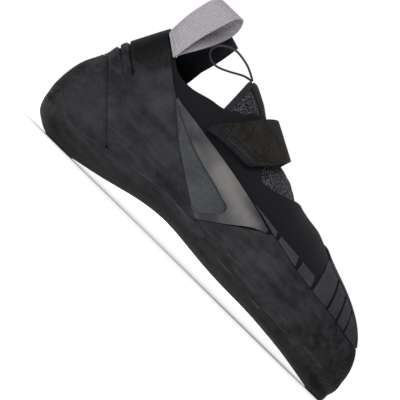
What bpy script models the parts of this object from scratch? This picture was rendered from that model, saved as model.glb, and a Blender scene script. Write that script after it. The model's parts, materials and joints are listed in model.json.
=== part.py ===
# Right climbing shoe, standing empty on its sole.
# X runs from heel to toe, the outer side of the foot is at -Y, and Z is up from the floor.
# The origin is the middle of the spot that the heel rests on.
# Every curved piece is read from one last: cross-sections along the foot, joined by smooth curves.

import math
from functools import lru_cache

import bmesh
import bpy
import numpy as np
from mathutils import Vector

MM = 0.001

# Driving dimensions, in millimetres
ORIGIN_X = 28.5
LAST_START = 6.2
LAST_LENGTH = 244.8
BALL_WIDTH = 88.0
INSTEP_HEIGHT = 100.0
UPPER_WALL = 1.8
RUBBER_WALL = 1.3
PAD_WALL = 0.9
SOLE_LIP = 3.8
GAP = 0.3
LAYER_GAP = 0.45
WEBBING = 1.2
CORD_RADIUS = 0.7

# What stands between the last and each layer, measured outwards along the last's own normal
UPPER_OUT = UPPER_WALL
LAYER_IN = UPPER_OUT + LAYER_GAP
RUBBER_OUT = LAYER_IN + RUBBER_WALL
PAD_OUT = LAYER_IN + PAD_WALL
SOLE_IN = LAYER_IN + 0.25
PANEL_IN = RUBBER_OUT + GAP
PANEL_OUT = PANEL_IN + 0.5
TONGUE_OUT = -0.95
TONGUE_IN = TONGUE_OUT - 1.8

# Split line between the sole pieces, and half the gap that parts two rubber pieces
SOLE_SPLIT = 122.5
HALF_GAP = 0.25

# Round the form from heel to toe there are this many steps between shared section planes
STATION_STEPS = 32
LADDER_STEPS = 13
BEND_WEIGHT = 9.0
SNAP = 1.2

# The last, a row for each section. Station is mm from the heel at a 244.8 mm last, y values are mm
# at an 88 mm ball, heights are mm above the floor at a 100 mm instep.
SECTION_COLUMNS = ("station", "outer", "inner", "crest", "low", "wide", "top", "ground",
                   "round_top", "round_low", "round_ground")
SECTIONS = (
    (6.2, 0.0, 0.0, 0.0, 27.0, 27.0, 27.0, 27.0, 2.1, 2.2, 2.3),
    (9.4, -13.0, 13.0, 0.0, 15.5, 27.2, 47.0, 9.6, 2.1, 2.2, 2.3),
    (15.0, -21.0, 21.0, 0.0, 10.0, 27.5, 58.5, 4.4, 2.1, 2.3, 2.4),
    (21.0, -25.0, 25.0, 0.0, 7.4, 27.8, 74.5, 1.0, 2.1, 2.3, 2.5),
    (27.0, -27.3, 27.3, 0.0, 6.1, 28.0, 87.0, -0.4, 2.1, 2.4, 2.5),
    (33.0, -28.5, 28.3, 0.0, 5.7, 28.4, 98.0, -0.7, 2.1, 2.4, 2.6),
    (40.0, -29.0, 28.5, 0.0, 6.1, 29.0, 109.0, -0.1, 2.1, 2.4, 2.6),
    (50.0, -29.2, 28.2, 0.2, 7.6, 30.0, 115.5, 1.7, 2.1, 2.5, 2.7),
    (70.0, -29.8, 26.8, 0.8, 12.0, 32.0, 115.5, 6.1, 2.1, 2.6, 3.0),
    (90.0, -30.8, 25.5, 2.0, 16.8, 33.0, 109.8, 10.9, 2.05, 2.6, 3.2),
    (110.0, -33.0, 26.5, 4.0, 18.8, 34.0, 99.2, 12.9, 2.0, 2.7, 3.4),
    (130.0, -36.3, 31.0, 6.0, 17.2, 32.0, 89.2, 11.2, 2.0, 2.8, 3.8),
    (150.0, -39.6, 38.0, 8.0, 15.2, 29.0, 80.8, 9.3, 2.0, 2.9, 4.2),
    (165.0, -41.2, 43.0, 9.8, 14.6, 27.0, 74.3, 8.7, 2.0, 3.0, 4.5),
    (180.0, -41.0, 46.3, 12.0, 14.2, 25.5, 71.6, 8.3, 2.0, 3.0, 4.5),
    (195.0, -38.0, 47.3, 14.2, 13.2, 24.0, 65.2, 7.1, 2.05, 3.0, 4.5),
    (210.0, -31.8, 46.6, 16.2, 11.6, 22.0, 59.4, 5.4, 2.1, 3.0, 4.5),
    (225.0, -21.5, 44.0, 18.0, 9.2, 19.5, 53.0, 2.8, 2.15, 2.9, 4.3),
    (234.0, -12.5, 41.0, 18.8, 7.6, 17.8, 47.6, 1.0, 2.2, 2.8, 4.0),
    (240.0, -5.0, 37.8, 19.2, 7.0, 16.6, 42.6, 0.0, 2.2, 2.7, 3.8),
    (246.0, 5.0, 33.0, 19.4, 7.4, 15.6, 34.6, -0.6, 2.2, 2.6, 3.6),
    (249.0, 11.5, 28.3, 19.5, 9.4, 15.2, 27.2, -0.2, 2.2, 2.5, 3.4),
    (251.0, 19.5, 19.5, 19.5, 15.0, 15.0, 15.0, 15.0, 2.2, 2.4, 3.2),
)

# Edge lines seen from the side, as (x, z) in millimetres
COLLAR_EDGE = ((38.0, 100.0), (41.0, 93.0), (44.0, 88.2), (48.0, 84.6), (52.0, 82.4), (60.0, 81.3),
               (66.0, 82.0), (72.0, 84.0), (79.0, 86.2), (86.0, 88.0), (92.0, 91.6), (99.0, 95.6))
SLING_EDGE = ((4.0, 21.5), (9.0, 19.6), (20.0, 16.9), (30.0, 15.6), (40.0, 16.6), (50.0, 18.9),
              (60.0, 20.6), (75.0, 23.3), (90.0, 25.2), (105.0, 25.5), (122.5, 25.2))
OUTSOLE_EDGE = ((122.5, 21.6), (132.0, 20.8), (147.0, 19.6), (160.0, 18.2), (175.0, 15.6),
                (190.0, 13.2), (205.0, 12.0), (220.0, 10.6), (235.0, 9.0), (247.0, 7.6), (253.6, 7.4))
GROOVE = ((15.0, 59.0), (18.0, 56.3), (25.0, 49.0), (35.0, 38.5), (45.0, 28.5), (52.0, 20.6))
CUFF_EDGE = ((30.2, 98.8), (31.4, 95.6), (36.0, 91.4), (42.5, 86.0), (50.0, 79.6), (56.0, 75.0), (61.0, 71.8))
WING_EDGE = ((61.0, 71.8), (66.0, 67.0), (72.0, 61.5), (80.0, 54.5), (88.0, 48.8), (100.0, 40.5),
             (110.0, 34.2), (121.6, 27.0))
FABRIC_EDGE = ((61.0, 72.2), (70.0, 70.5), (80.0, 69.0), (92.0, 66.8), (100.0, 65.5), (110.0, 63.8),
               (120.0, 62.0), (130.0, 60.0), (140.0, 57.8), (150.0, 55.2), (160.5, 52.2))
SLIT = ((121.6, 27.0), (132.0, 34.4), (140.0, 40.0), (150.0, 47.0), (160.5, 51.6))
PANEL_TOP = ((69.0, 65.0), (80.0, 60.5), (90.0, 57.3), (100.0, 54.0), (110.0, 51.0), (120.0, 48.4),
             (128.0, 46.0), (131.6, 42.6))
PANEL_LOW = ((69.0, 64.4), (80.0, 55.4), (90.0, 48.3), (100.0, 41.4), (110.0, 35.0), (118.0, 30.4),
             (121.5, 32.2), (127.0, 37.4), (131.6, 41.6))
PATCH_LOW = ((160.5, 53.0), (165.5, 52.4), (176.0, 50.0), (187.0, 47.6), (202.0, 45.2), (217.0, 43.3),
             (226.0, 42.0), (236.0, 40.0), (243.5, 39.0))
SIDE_PAD_TOP = ((140.0, 58.4), (150.0, 57.4), (162.0, 56.2), (180.0, 54.8), (198.0, 52.6))

# Tongue slot over the instep: half its width each side of the crest
SLOT_COLUMNS = ("x", "half_width")
SLOT = ((99.0, 15.0), (104.0, 8.5), (109.0, 6.0), (118.0, 8.0), (126.0, 14.5), (134.0, 19.5),
        (142.0, 20.0), (150.0, 16.0), (156.0, 10.0), (160.0, 4.0))
SLOT_END = 161.0
INSOLE_START = 18.0
INSOLE_END = 238.0
INSOLE_SHARE = 0.8
COLLAR_BACK = 35.4
TONGUE_BACK = 87.5
TONGUE_FRONT = 168.0
TONGUE_LAP = 13.0

# Section planes across the two flat rest spots, how soon a sole's end follows the last again, and
# how near to the floor the rubber is pressed flat
HEEL_REST = (24.0, 29.0, 34.0, 39.0)
TOE_REST = (237.0, 241.0, 245.0, 248.0)
SOLE_END_BLEND = 0.25
FLAT_REACH = 0.6

# Toe pads on the outer side: x of the back and front edges, at the pad's low edge and at its top
PAD_COLUMNS = ("back_low", "back_top", "front_low", "front_top", "full_height")
PADS = (
    (146.0, 141.0, 163.6, 162.4, False),
    (165.8, 165.4, 184.2, 181.6, False),
    (186.8, 185.4, 200.2, 197.0, False),
    (202.6, 196.4, 215.2, 208.8, True),
    (217.4, 210.8, 224.2, 218.8, True),
    (226.4, 220.8, 232.0, 227.6, True),
    (234.0, 229.6, 241.0, 237.4, True),
)
TOE_SEAM = 72.0
TOE_PATCH_BACK = 172.0
TOE_PATCH_FULL = 198.0
SIDE_RAND_END = 157.5

# Strap over the instep, rows from the outer tab over the crest to the inner side.
# Heights beyond the crest mean the crest itself.
STRAP_COLUMNS = ("side", "back_x", "back_z", "front_x", "front_z", "lift")
STRAP_ROWS = (
    (-1, 88.0, 70.6, 122.4, 71.8, 0.0),
    (-1, 90.0, 76.0, 126.6, 77.0, 0.1),
    (-1, 96.5, 84.0, 132.0, 83.0, 0.5),
    (-1, 104.0, 93.0, 135.5, 86.6, 1.2),
    (0, 112.2, 200.0, 136.2, 200.0, 3.0),
    (1, 110.0, 92.0, 136.0, 84.0, 1.4),
    (1, 106.0, 82.0, 133.0, 76.0, 0.6),
    (1, 103.0, 71.5, 131.0, 67.0, 0.1),
)

# Webbing pull loop on the outer side: its rear and front edges, from the sewn end up and round
WEBBING_POINTS = 5
LOOP_COLUMNS = ("rear_x", "rear_y", "rear_z", "front_x", "front_y", "front_z", "bow")
OUTER_LOOP = (
    (31.4, -14.5, 105.0, 45.4, -27.0, 98.5, 3.0),
    (32.2, -14.5, 114.0, 47.8, -25.0, 110.0, 1.5),
    (34.4, -12.5, 125.0, 51.8, -20.5, 123.5, 0.6),
    (36.8, -10.5, 130.2, 54.2, -17.0, 130.0, 0.2),
    (40.5, -6.5, 132.8, 57.0, -12.5, 132.9, 0.0),
    (43.0, -2.5, 131.0, 59.2, -8.2, 130.2, 0.0),
    (43.6, -0.5, 125.5, 60.0, -5.6, 124.0, 0.0),
    (41.4, -1.6, 116.0, 57.6, -8.4, 114.8, 0.6),
    (37.6, -9.0, 108.0, 52.0, -19.5, 103.0, 2.0),
)
INNER_LOOP = (
    (44.0, 18.6, 92.0, 60.5, 18.6, 89.0, 0.0),
    (46.0, 13.0, 103.0, 63.5, 12.5, 100.0, 0.0),
    (48.6, 10.0, 114.0, 65.8, 9.0, 110.5, 0.0),
    (50.4, 7.0, 121.4, 66.8, 6.2, 116.8, 0.0),
    (51.0, 4.8, 123.6, 67.0, 4.0, 118.6, 0.0),
    (50.2, 2.6, 121.4, 66.2, 2.2, 116.6, 0.0),
    (48.0, 4.4, 113.0, 64.6, 4.6, 109.0, 0.0),
    (45.4, 8.0, 102.0, 62.2, 8.0, 98.6, 0.0),
    (44.4, 12.6, 92.0, 61.0, 12.6, 89.0, 0.0),
)

# Cord loop from the tongue's tip, chosen by hand
CORD_ROUTE = (
    (87.3, -1.6, 110.9), (85.6, -2.2, 112.0), (83.0, -3.4, 113.4), (79.0, -5.0, 115.2),
    (73.0, -6.8, 116.6), (68.0, -8.2, 117.0), (63.0, -9.4, 115.6), (59.0, -10.2, 113.0),
    (56.6, -10.6, 109.8), (56.4, -10.4, 106.2), (58.6, -9.8, 103.4), (62.0, -8.8, 102.0),
    (66.5, -7.4, 102.2), (71.5, -5.8, 104.2), (76.5, -4.0, 106.8), (81.0, -1.8, 109.2),
    (84.6, 0.4, 110.2), (87.3, 1.4, 110.6),
)

COLOURS = {
    "fabric": ((0.012, 0.012, 0.014), 0.9),
    "knit": ((0.03, 0.03, 0.033), 0.95),
    "rubber": ((0.022, 0.022, 0.025), 0.62),
    "gloss_rubber": ((0.035, 0.035, 0.038), 0.32),
    "panel": ((0.055, 0.062, 0.07), 0.5),
    "pad": ((0.055, 0.058, 0.064), 0.5),
    "suede": ((0.018, 0.016, 0.015), 0.95),
    "grey_webbing": ((0.33, 0.30, 0.33), 0.85),
    "black_webbing": ((0.012, 0.012, 0.014), 0.85),
    "insole": ((0.05, 0.05, 0.05), 0.9),
}


def clear_scene():
    for obj in list(bpy.data.objects):
        bpy.data.objects.remove(obj, do_unlink=True)


def finish_for(name):
    # One Principled material for each sub-part
    colour, roughness = COLOURS[name[1]]
    material = bpy.data.materials.new(name[0])
    material.use_nodes = True
    shader = material.node_tree.nodes["Principled BSDF"]
    shader.inputs["Base Color"].default_value = (*colour, 1.0)
    shader.inputs["Roughness"].default_value = roughness
    shader.inputs["Metallic"].default_value = 0.0
    return material


def natural_spline(knots, values):
    # Smooth curve through a column: returns a function of the knot's own variable
    x = np.asarray(knots, float)
    y = np.asarray(values, float)
    n = len(x)
    step = np.diff(x)
    matrix = np.eye(n)
    right = np.zeros(n)
    for i in range(1, n - 1):
        matrix[i, i - 1:i + 2] = step[i - 1], 2 * (step[i - 1] + step[i]), step[i]
        right[i] = 6 * ((y[i + 1] - y[i]) / step[i] - (y[i] - y[i - 1]) / step[i - 1])
    bend = np.linalg.solve(matrix, right)

    def read(at):
        i = int(np.clip(np.searchsorted(x, at) - 1, 0, n - 2))
        left = (x[i + 1] - at) / step[i]
        near = (at - x[i]) / step[i]
        curve = ((left ** 3 - left) * bend[i] + (near ** 3 - near) * bend[i + 1]) * step[i] ** 2 / 6
        return float(left * y[i] + near * y[i + 1] + curve)

    return read


def line(points):
    # An edge line: z as a smooth function of x
    read = natural_spline([p[0] for p in points], [p[1] for p in points])
    first = points[0][0]
    last = points[-1][0]
    return lambda x: read(min(max(x, first), last))


class Form:
    # A closed body of super-elliptic sections. Angle phi runs from 0 at the heel to pi at the toe,
    # and t runs round a section: 0 outer side, 90 crest, 180 inner side, -90 the keel.

    def __init__(self, start, length, columns):
        self.start = start
        self.length = length
        share = [(row[0] - SECTIONS[0][0]) / (SECTIONS[-1][0] - SECTIONS[0][0]) for row in SECTIONS]
        knots = [math.acos(1 - 2 * min(max(s, 0.0), 1.0)) for s in share]
        self.curves = {name: natural_spline(knots, values) for name, values in columns.items()}
        self.section = lru_cache(maxsize=None)(self.read_section)

    def read_section(self, phi):
        return {name: curve(phi) for name, curve in self.curves.items()}

    def x_at(self, phi):
        return self.start + self.length * (1 - math.cos(phi)) / 2

    def phi_at(self, x):
        share = min(max((x - self.start) / self.length, 0.0), 1.0)
        return math.acos(1 - 2 * share)

    def spots(self, phi, t):
        # Points of one section at the angles t, in degrees
        cut = self.section(phi)
        t = np.radians(np.atleast_1d(np.asarray(t, float)))
        c = np.cos(t)
        s = np.sin(t)
        power = np.where(s >= 0, 2 / cut["round_top"], 2 / cut["round_low"])
        height = np.where(s >= 0, cut["top"] - cut["wide"], cut["wide"] - cut["low"])
        reach = np.where(c >= 0, cut["crest"] - cut["outer"], cut["inner"] - cut["crest"])
        y = cut["crest"] - np.sign(c) * reach * np.abs(c) ** power
        z = cut["wide"] + np.sign(s) * height * np.abs(s) ** power
        return np.stack([np.full_like(y, self.x_at(phi)), y, z], axis=1)

    def level(self, phi, y, z):
        cut = self.section(phi)
        top = z >= cut["wide"]
        power = cut["round_top"] if top else cut["round_low"]
        height = cut["top"] - cut["wide"] if top else cut["wide"] - cut["low"]
        reach = cut["crest"] - cut["outer"] if y < cut["crest"] else cut["inner"] - cut["crest"]
        dy = abs(y - cut["crest"])
        dz = abs(z - cut["wide"])
        value = (dy / reach) ** power + (dz / height) ** power
        across = power * (dy / reach) ** (power - 1) / reach * (1 if y > cut["crest"] else -1)
        upward = power * (dz / height) ** (power - 1) / height * (1 if top else -1)
        return value, across, upward

    def normal(self, phi, spot):
        if phi < 1e-4:
            return np.array([-1.0, 0.0, 0.0])
        if phi > math.pi - 1e-4:
            return np.array([1.0, 0.0, 0.0])
        h = min(2e-3, phi / 4, (math.pi - phi) / 4)
        before = self.level(phi - h, spot[1], spot[2])[0]
        after = self.level(phi + h, spot[1], spot[2])[0]
        _, across, upward = self.level(phi, spot[1], spot[2])
        run = self.length / 2 * math.sin(phi)
        out = np.array([(after - before) / (2 * h), run * across, run * upward])
        return out / np.linalg.norm(out)

    def skin(self, phi, t, offset):
        # A point of the surface that lies offset outside the form
        spot = self.spots(phi, t)[0]
        if offset == 0:
            return spot
        return spot + self.normal(phi, spot) * offset

    def spread(self, phi, first, last, count):
        # Angles that part the stretch from first to last, closer together round its bends
        fine = np.linspace(first, last, 91)
        steps = np.diff(self.spots(phi, fine), axis=0)
        length = np.linalg.norm(steps, axis=1)
        heading = np.unwrap(np.arctan2(steps[:, 2], steps[:, 1]))
        turn = np.abs(np.diff(heading, prepend=heading[0]))
        run = np.concatenate([[0], np.cumsum(length + BEND_WEIGHT * turn)])
        if run[-1] < 1e-6:
            return np.linspace(first, last, count)
        return np.interp(np.linspace(0, run[-1], count), run, fine)

    def angle_at(self, phi, edge, side, offset=0.0):
        # The angle on one side at which the offset surface meets an edge line, or the crest or keel
        # where it never does
        low = -90.0
        high = 90.0
        for _ in range(26):
            middle = (low + high) / 2
            spot = self.skin(phi, middle if side < 0 else 180 - middle, offset)
            if spot[2] < edge(spot[0]):
                low = middle
            else:
                high = middle
        middle = (low + high) / 2
        if middle > 89.99:
            middle = 90.0
        if middle < -89.99:
            middle = -90.0
        return middle if side < 0 else 180 - middle

    def crossing(self, edge, t, offset, first, last):
        # The section between two others whose crest or keel lies on an edge line
        def above(phi):
            spot = self.skin(phi, t, offset)
            return spot[2] > edge(spot[0])

        begins = above(first)
        for _ in range(30):
            middle = (first + last) / 2
            if above(middle) == begins:
                first = middle
            else:
                last = middle
        return (first + last) / 2

    def place(self, x, z, side, offset):
        # Section and angle of the offset surface's point that is seen at (x, z) from the side
        station = x
        for _ in range(5):
            phi = self.phi_at(station)
            t = self.angle_at(phi, lambda _: z, side, offset)
            station += x - self.skin(phi, t, offset)[0]
        phi = self.phi_at(station)
        return phi, self.angle_at(phi, lambda _: z, side, offset)


def columns_from_table():
    stretch = {"outer": BALL_WIDTH / 88.0, "inner": BALL_WIDTH / 88.0, "crest": BALL_WIDTH / 88.0}
    lift = INSTEP_HEIGHT / 100.0
    result = {}
    for index, name in enumerate(SECTION_COLUMNS[1:], start=1):
        factor = stretch.get(name, 1.0 if name.startswith("round") else lift)
        result[name] = [row[index] * factor for row in SECTIONS]
    return result


COLUMNS = columns_from_table()
LAST = Form(LAST_START, LAST_LENGTH, COLUMNS)
SOLE = Form(LAST_START - SOLE_LIP + 0.2, LAST_LENGTH + 2 * (SOLE_LIP - 0.2), {
    **COLUMNS,
    "outer": [y - SOLE_LIP if 0 < i < len(SECTIONS) - 1 else y for i, y in enumerate(COLUMNS["outer"])],
    "inner": [y + SOLE_LIP if 0 < i < len(SECTIONS) - 1 else y for i, y in enumerate(COLUMNS["inner"])],
    "low": COLUMNS["ground"],
    "round_low": COLUMNS["round_ground"],
})


KEY_STATIONS = (18.0, 35.4, 38.0, 44.0, 52.0, 61.0, 99.0, 103.5, 109.0, 118.0, 134.0, 150.0, 156.0,
                160.0, 161.0, 232.0, 238.0)


def shared_stations():
    # Section planes that every layer uses, so that the facets of stacked layers run alike
    pitch = math.pi / STATION_STEPS
    keys = [LAST.phi_at(x) for x in KEY_STATIONS]
    even = [pitch * i for i in range(STATION_STEPS + 1)]
    kept = [phi for phi in even[1:-1] if min(abs(phi - key) for key in keys) > pitch * 0.45]
    return sorted([even[0], even[-1]] + keys + kept)


STATIONS = shared_stations()


def stations(first, last, extra=()):
    # The shared section planes between two angles, with both ends and any set ones
    margin = math.pi / STATION_STEPS * 0.06
    kept = [first, *sorted(extra), last]
    shared = [phi for phi in STATIONS if first < phi < last and min(abs(phi - k) for k in kept) > margin]
    return sorted(kept + shared)


def layer_row(phi, angles, inside, outside):
    # Pairs of inner and outer points across one section
    return [(LAST.skin(phi, t, inside), LAST.skin(phi, t, outside)) for t in angles]


def build_solid(name, finish, grids, flat_floor=False):
    # A closed wall between the inner and the outer point of every pair in the grids, where a second
    # grid runs the other way round. Points that fall together are one vertex, so the two join along
    # crest, keel and poles.
    known = {}
    pairs = []

    def vertex(pair):
        key = tuple(np.round(np.concatenate(pair), 4) + 0.0)
        if key not in known:
            known[key] = len(pairs)
            pairs.append(pair)
        return known[key]

    faces = []
    for number, grid in enumerate(grids):
        rows = [[vertex(pair) for pair in row] for row in grid]
        for upper_row, lower_row in zip(rows, rows[1:]):
            for i in range(len(upper_row) - 1):
                a, b, c, d = upper_row[i], upper_row[i + 1], lower_row[i + 1], lower_row[i]
                rings = ([a, b, c], [a, c, d]) if number == 0 else ([c, b, a], [d, c, a])
                faces.extend(ring for ring in rings if len(set(ring)) == 3)
    used = {}
    for face in faces:
        for a, b in zip(face, face[1:] + face[:1]):
            used[(a, b)] = used.get((a, b), 0) + 1
    mesh = bpy.data.meshes.new(name)
    bm = bmesh.new()
    inner = [bm.verts.new(placed(p[0], flat_floor)) for p in pairs]
    outer = [bm.verts.new(placed(p[1], flat_floor)) for p in pairs]
    for face in faces:
        bm.faces.new([outer[v] for v in face])
        bm.faces.new([inner[v] for v in reversed(face)])
    for a, b in used:
        if (b, a) not in used:
            bm.faces.new([outer[b], outer[a], inner[a], inner[b]])
    bmesh.ops.recalc_face_normals(bm, faces=bm.faces[:])
    bm.to_mesh(mesh)
    bm.free()
    return add_object(name, finish, mesh)


def placed(point, flat_floor=False):
    # From the last's millimetres to metres from the origin
    height = 0.0 if flat_floor and point[2] < FLAT_REACH else point[2]
    return Vector((point[0] - ORIGIN_X, point[1], height)) * MM


def add_object(name, finish, mesh):
    mesh.materials.append(finish_for((name, finish)))
    mesh.shade_smooth()
    mesh.set_sharp_from_angle(angle=math.radians(40))
    obj = bpy.data.objects.new(name, mesh)
    bpy.context.scene.collection.objects.link(obj)
    return obj


@lru_cache(maxsize=None)
def ladder(phi, side):
    # Shared angles up one side of a section, from the keel to the crest. One of them is the upper's
    # lower edge, so that the sole's facets turn where the upper's do.
    row = LAST.spread(phi, -90.0 if side < 0 else 270.0, 90.0, LADDER_STEPS + 1)
    edge = feather(phi, side)
    if edge not in (-90.0, 270.0):
        nearest = 1 + int(np.argmin(np.abs(row[1:-1] - edge)))
        row[nearest] = edge
    return tuple(row)


def rungs(phi, side, low, high):
    # The ladder's angles between two edges: those beyond an edge, or close to it, lie on the edge
    row = []
    for t in ladder(phi, side):
        t = min(max(t, low), high) if side < 0 else max(min(t, low), high)
        if abs(t - low) < SNAP:
            t = low
        if abs(t - high) < SNAP:
            t = high
        row.append(t)
    row[0] = low
    row[-1] = high
    return row


def band(name, finish, phis, low, high, inside=LAYER_IN, outside=RUBBER_OUT, sides=(-1, 1)):
    # A layer between an edge below and an edge above at each section. Where both sides reach the
    # crest or the keel, they join there.
    grids = []
    for side in sides:
        grid = [layer_row(phi, rungs(phi, side, low(phi, side), high(phi, side)), inside, outside)
                for phi in phis]
        grids.append(grid)
    return build_solid(name, finish, grids)


def edge_on(points, offset, shift=0.0):
    # An edge line moved up by shift, read as an angle on the offset surface
    curve = line(shifted(points, shift))
    found = {}

    def angle(phi, side):
        key = (round(phi, 9), side)
        if key not in found:
            found[key] = LAST.angle_at(phi, curve, side, offset)
        return found[key]

    return angle


def crest_crossing(points, offset, shift, first_x, last_x):
    curve = line(shifted(points, shift))
    return LAST.crossing(curve, 90.0, offset, LAST.phi_at(first_x), LAST.phi_at(last_x))


def shifted(points, lift):
    return tuple((x, z + lift) for x, z in points)


def feather(phi, side):
    # Where the upper ends below and the insole begins: a share of the section's half width
    x = LAST.x_at(phi)
    middle = (INSOLE_START + INSOLE_END) / 2
    run = abs(x - middle) / ((INSOLE_END - INSOLE_START) / 2)
    if run >= 1 - 1e-6:
        return -90.0 if side < 0 else 270.0
    share = INSOLE_SHARE * math.sqrt(1 - run ** 5)
    power = LAST.section(phi)["round_low"]
    t = -math.degrees(math.acos(share ** (power / 2)))
    return t if side < 0 else 180 - t


def opening_edge():
    # The upper's free edge: down the collar, then along the tongue slot to its end
    collar = edge_on(COLLAR_EDGE, 0.0)
    half = natural_spline([row[0] for row in SLOT], [row[1] for row in SLOT])
    first = COLLAR_EDGE[0][0]
    split = SLOT[0][0]

    def edge(phi, side):
        x = LAST.x_at(phi)
        if x <= COLLAR_BACK + 1e-6 or x >= SLOT_END - 1e-6:
            return 90.0
        if x < first:
            share = (x - COLLAR_BACK) / (first - COLLAR_BACK)
            return 90 + (collar(LAST.phi_at(first), side) - 90) * math.sqrt(share)
        if x <= split:
            return collar(phi, side)
        cut = LAST.section(phi)
        width = half(min(x, SLOT[-1][0]))
        if x > SLOT[-1][0]:
            width *= math.sqrt((SLOT_END - x) / (SLOT_END - SLOT[-1][0]))
        reach = cut["crest"] - cut["outer"] if side < 0 else cut["inner"] - cut["crest"]
        t = math.degrees(math.acos((width / reach) ** (cut["round_top"] / 2)))
        return t if side < 0 else 180 - t

    return edge


def make_upper():
    return band("upper", "fabric", STATIONS, feather, opening_edge(), 0.0, UPPER_OUT)


def make_insole():
    # It closes the upper's open underside, an even gap inside the upper's lower edge
    first = LAST.phi_at(INSOLE_START + GAP * 2)
    last = LAST.phi_at(INSOLE_END - GAP * 2)

    def rim(phi, side):
        if phi in (first, last):
            return -90.0 if side < 0 else 270.0
        cut = LAST.section(phi)
        reach = cut["crest"] - cut["outer"] if side < 0 else cut["inner"] - cut["crest"]
        power = cut["round_low"]
        y = abs(math.cos(math.radians(feather(phi, side)))) ** (2 / power) * reach
        share = max(y - GAP * 2, 0.0) / reach
        t = -math.degrees(math.acos(share ** (power / 2)))
        return t if side < 0 else 180 - t

    return band("insole", "insole", stations(first, last), keel, rim, 0.0, UPPER_OUT)


def keel(phi, side):
    return -90.0 if side < 0 else 270.0


def crest(phi, side):
    return 90.0


def make_tongue():
    # Knit tongue inside the throat: it wraps the instep a little past the slot on both sides
    edge = opening_edge()

    def rim(phi, side):
        spare = TONGUE_LAP * min(1.0, max(0.25, (TONGUE_FRONT + 2 - LAST.x_at(phi)) / 10))
        if side < 0:
            return max(min(edge(phi, side), 74.0) - spare, 20.0)
        return min(max(edge(phi, side), 106.0) + spare, 160.0)

    phis = stations(LAST.phi_at(TONGUE_BACK), LAST.phi_at(TONGUE_FRONT))
    return band("tongue", "knit", phis, rim, crest, TONGUE_IN, TONGUE_OUT)


def make_tongue_band():
    # Flat binding sewn along the tongue's crest, from its tip to the strap
    phis = stations(LAST.phi_at(88.2), LAST.phi_at(108.5))
    inside = TONGUE_OUT + GAP
    grid = [layer_row(phi, (86.0, 90.0, 94.0), inside, inside + 1.0) for phi in phis]
    return build_solid("tongue_band", "black_webbing", [grid])


def make_sole(name, edge_points, heel_end):
    # A sheet under the foot, up to its edge line on both sides. Its upper skin follows the last and
    # its lower skin the sole's own form. At the rounded end both close where the keel meets the line.
    edge = line(edge_points)
    tip = 0.02 if heel_end else math.pi - 0.02
    flat = LAST.phi_at(40.0 if heel_end else 225.0)
    end_in = LAST.crossing(edge, -90.0, SOLE_IN, tip, flat)
    end_out = SOLE.crossing(edge, -90.0, 0.0, tip, flat)
    if heel_end:
        phis = stations(end_in, LAST.phi_at(SOLE_SPLIT - HALF_GAP), [LAST.phi_at(x) for x in HEEL_REST])
    else:
        phis = stations(LAST.phi_at(SOLE_SPLIT + HALF_GAP), end_in, [LAST.phi_at(x) for x in TOE_REST])
    grids = []
    for side in (-1, 1):
        bottom = keel(0.0, side)
        grid = []
        for phi in phis:
            phi_out = phi + (end_out - end_in) * math.exp(-abs(phi - end_in) / SOLE_END_BLEND)
            top_in = bottom if phi == end_in else LAST.angle_at(phi, edge, side, SOLE_IN)
            top_out = bottom if phi == end_in else SOLE.angle_at(phi_out, edge, side, 0.0)
            row = []
            for t in rungs(phi, side, bottom, top_in):
                share = (t - bottom) / (top_in - bottom) if top_in != bottom else 0.0
                t_out = bottom + (top_out - bottom) * share
                row.append((LAST.skin(phi, t, SOLE_IN), SOLE.skin(phi_out, t_out, 0.0)))
            grid.append(row)
        grids.append(grid)
    return build_solid(name, "rubber", grids, flat_floor=True)


def make_soles():
    # Heel half: under the heel and arch. Fore half: a crisp-edged sheet from the arch to the toe
    make_sole("heel_sole", SLING_EDGE, True)
    make_sole("outsole", OUTSOLE_EDGE, False)


def make_heel():
    sling = edge_on(SLING_EDGE, RUBBER_OUT, GAP)
    below_groove = edge_on(GROOVE, RUBBER_OUT, -HALF_GAP)
    above_groove = edge_on(GROOVE, RUBBER_OUT, HALF_GAP)
    cuff = edge_on(CUFF_EDGE, RUBBER_OUT)
    wing = edge_on(WING_EDGE, RUBBER_OUT, -HALF_GAP)
    phi_front = LAST.phi_at(GROOVE[-1][0] - 0.5)
    phi_wing = LAST.phi_at(WING_EDGE[0][0])
    ball_top = crest_crossing(GROOVE, RUBBER_OUT, -HALF_GAP, 7.0, 25.0)
    rand_back = crest_crossing(GROOVE, RUBBER_OUT, HALF_GAP, 7.0, 25.0)
    cuff_back = crest_crossing(CUFF_EDGE, RUBBER_OUT, 0.0, 25.0, 45.0)

    band("heel_ball", "rubber", stations(0.0, phi_front, (ball_top,)), sling, below_groove,
         outside=RUBBER_OUT + 0.3)

    def low(phi, side):
        return max(above_groove(phi, side), sling(phi, side)) if side < 0 else min(
            above_groove(phi, side), sling(phi, side))

    def high(phi, side):
        return cuff(phi, side) if phi < phi_wing else wing(phi, side)

    cuff_turn = [cuff_back + step for step in (0.003, 0.01, 0.02)]
    phis = stations(rand_back, LAST.phi_at(119.5), (cuff_back, *cuff_turn, phi_front, phi_wing))
    band("heel_rand", "rubber", phis, low, high)


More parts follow.
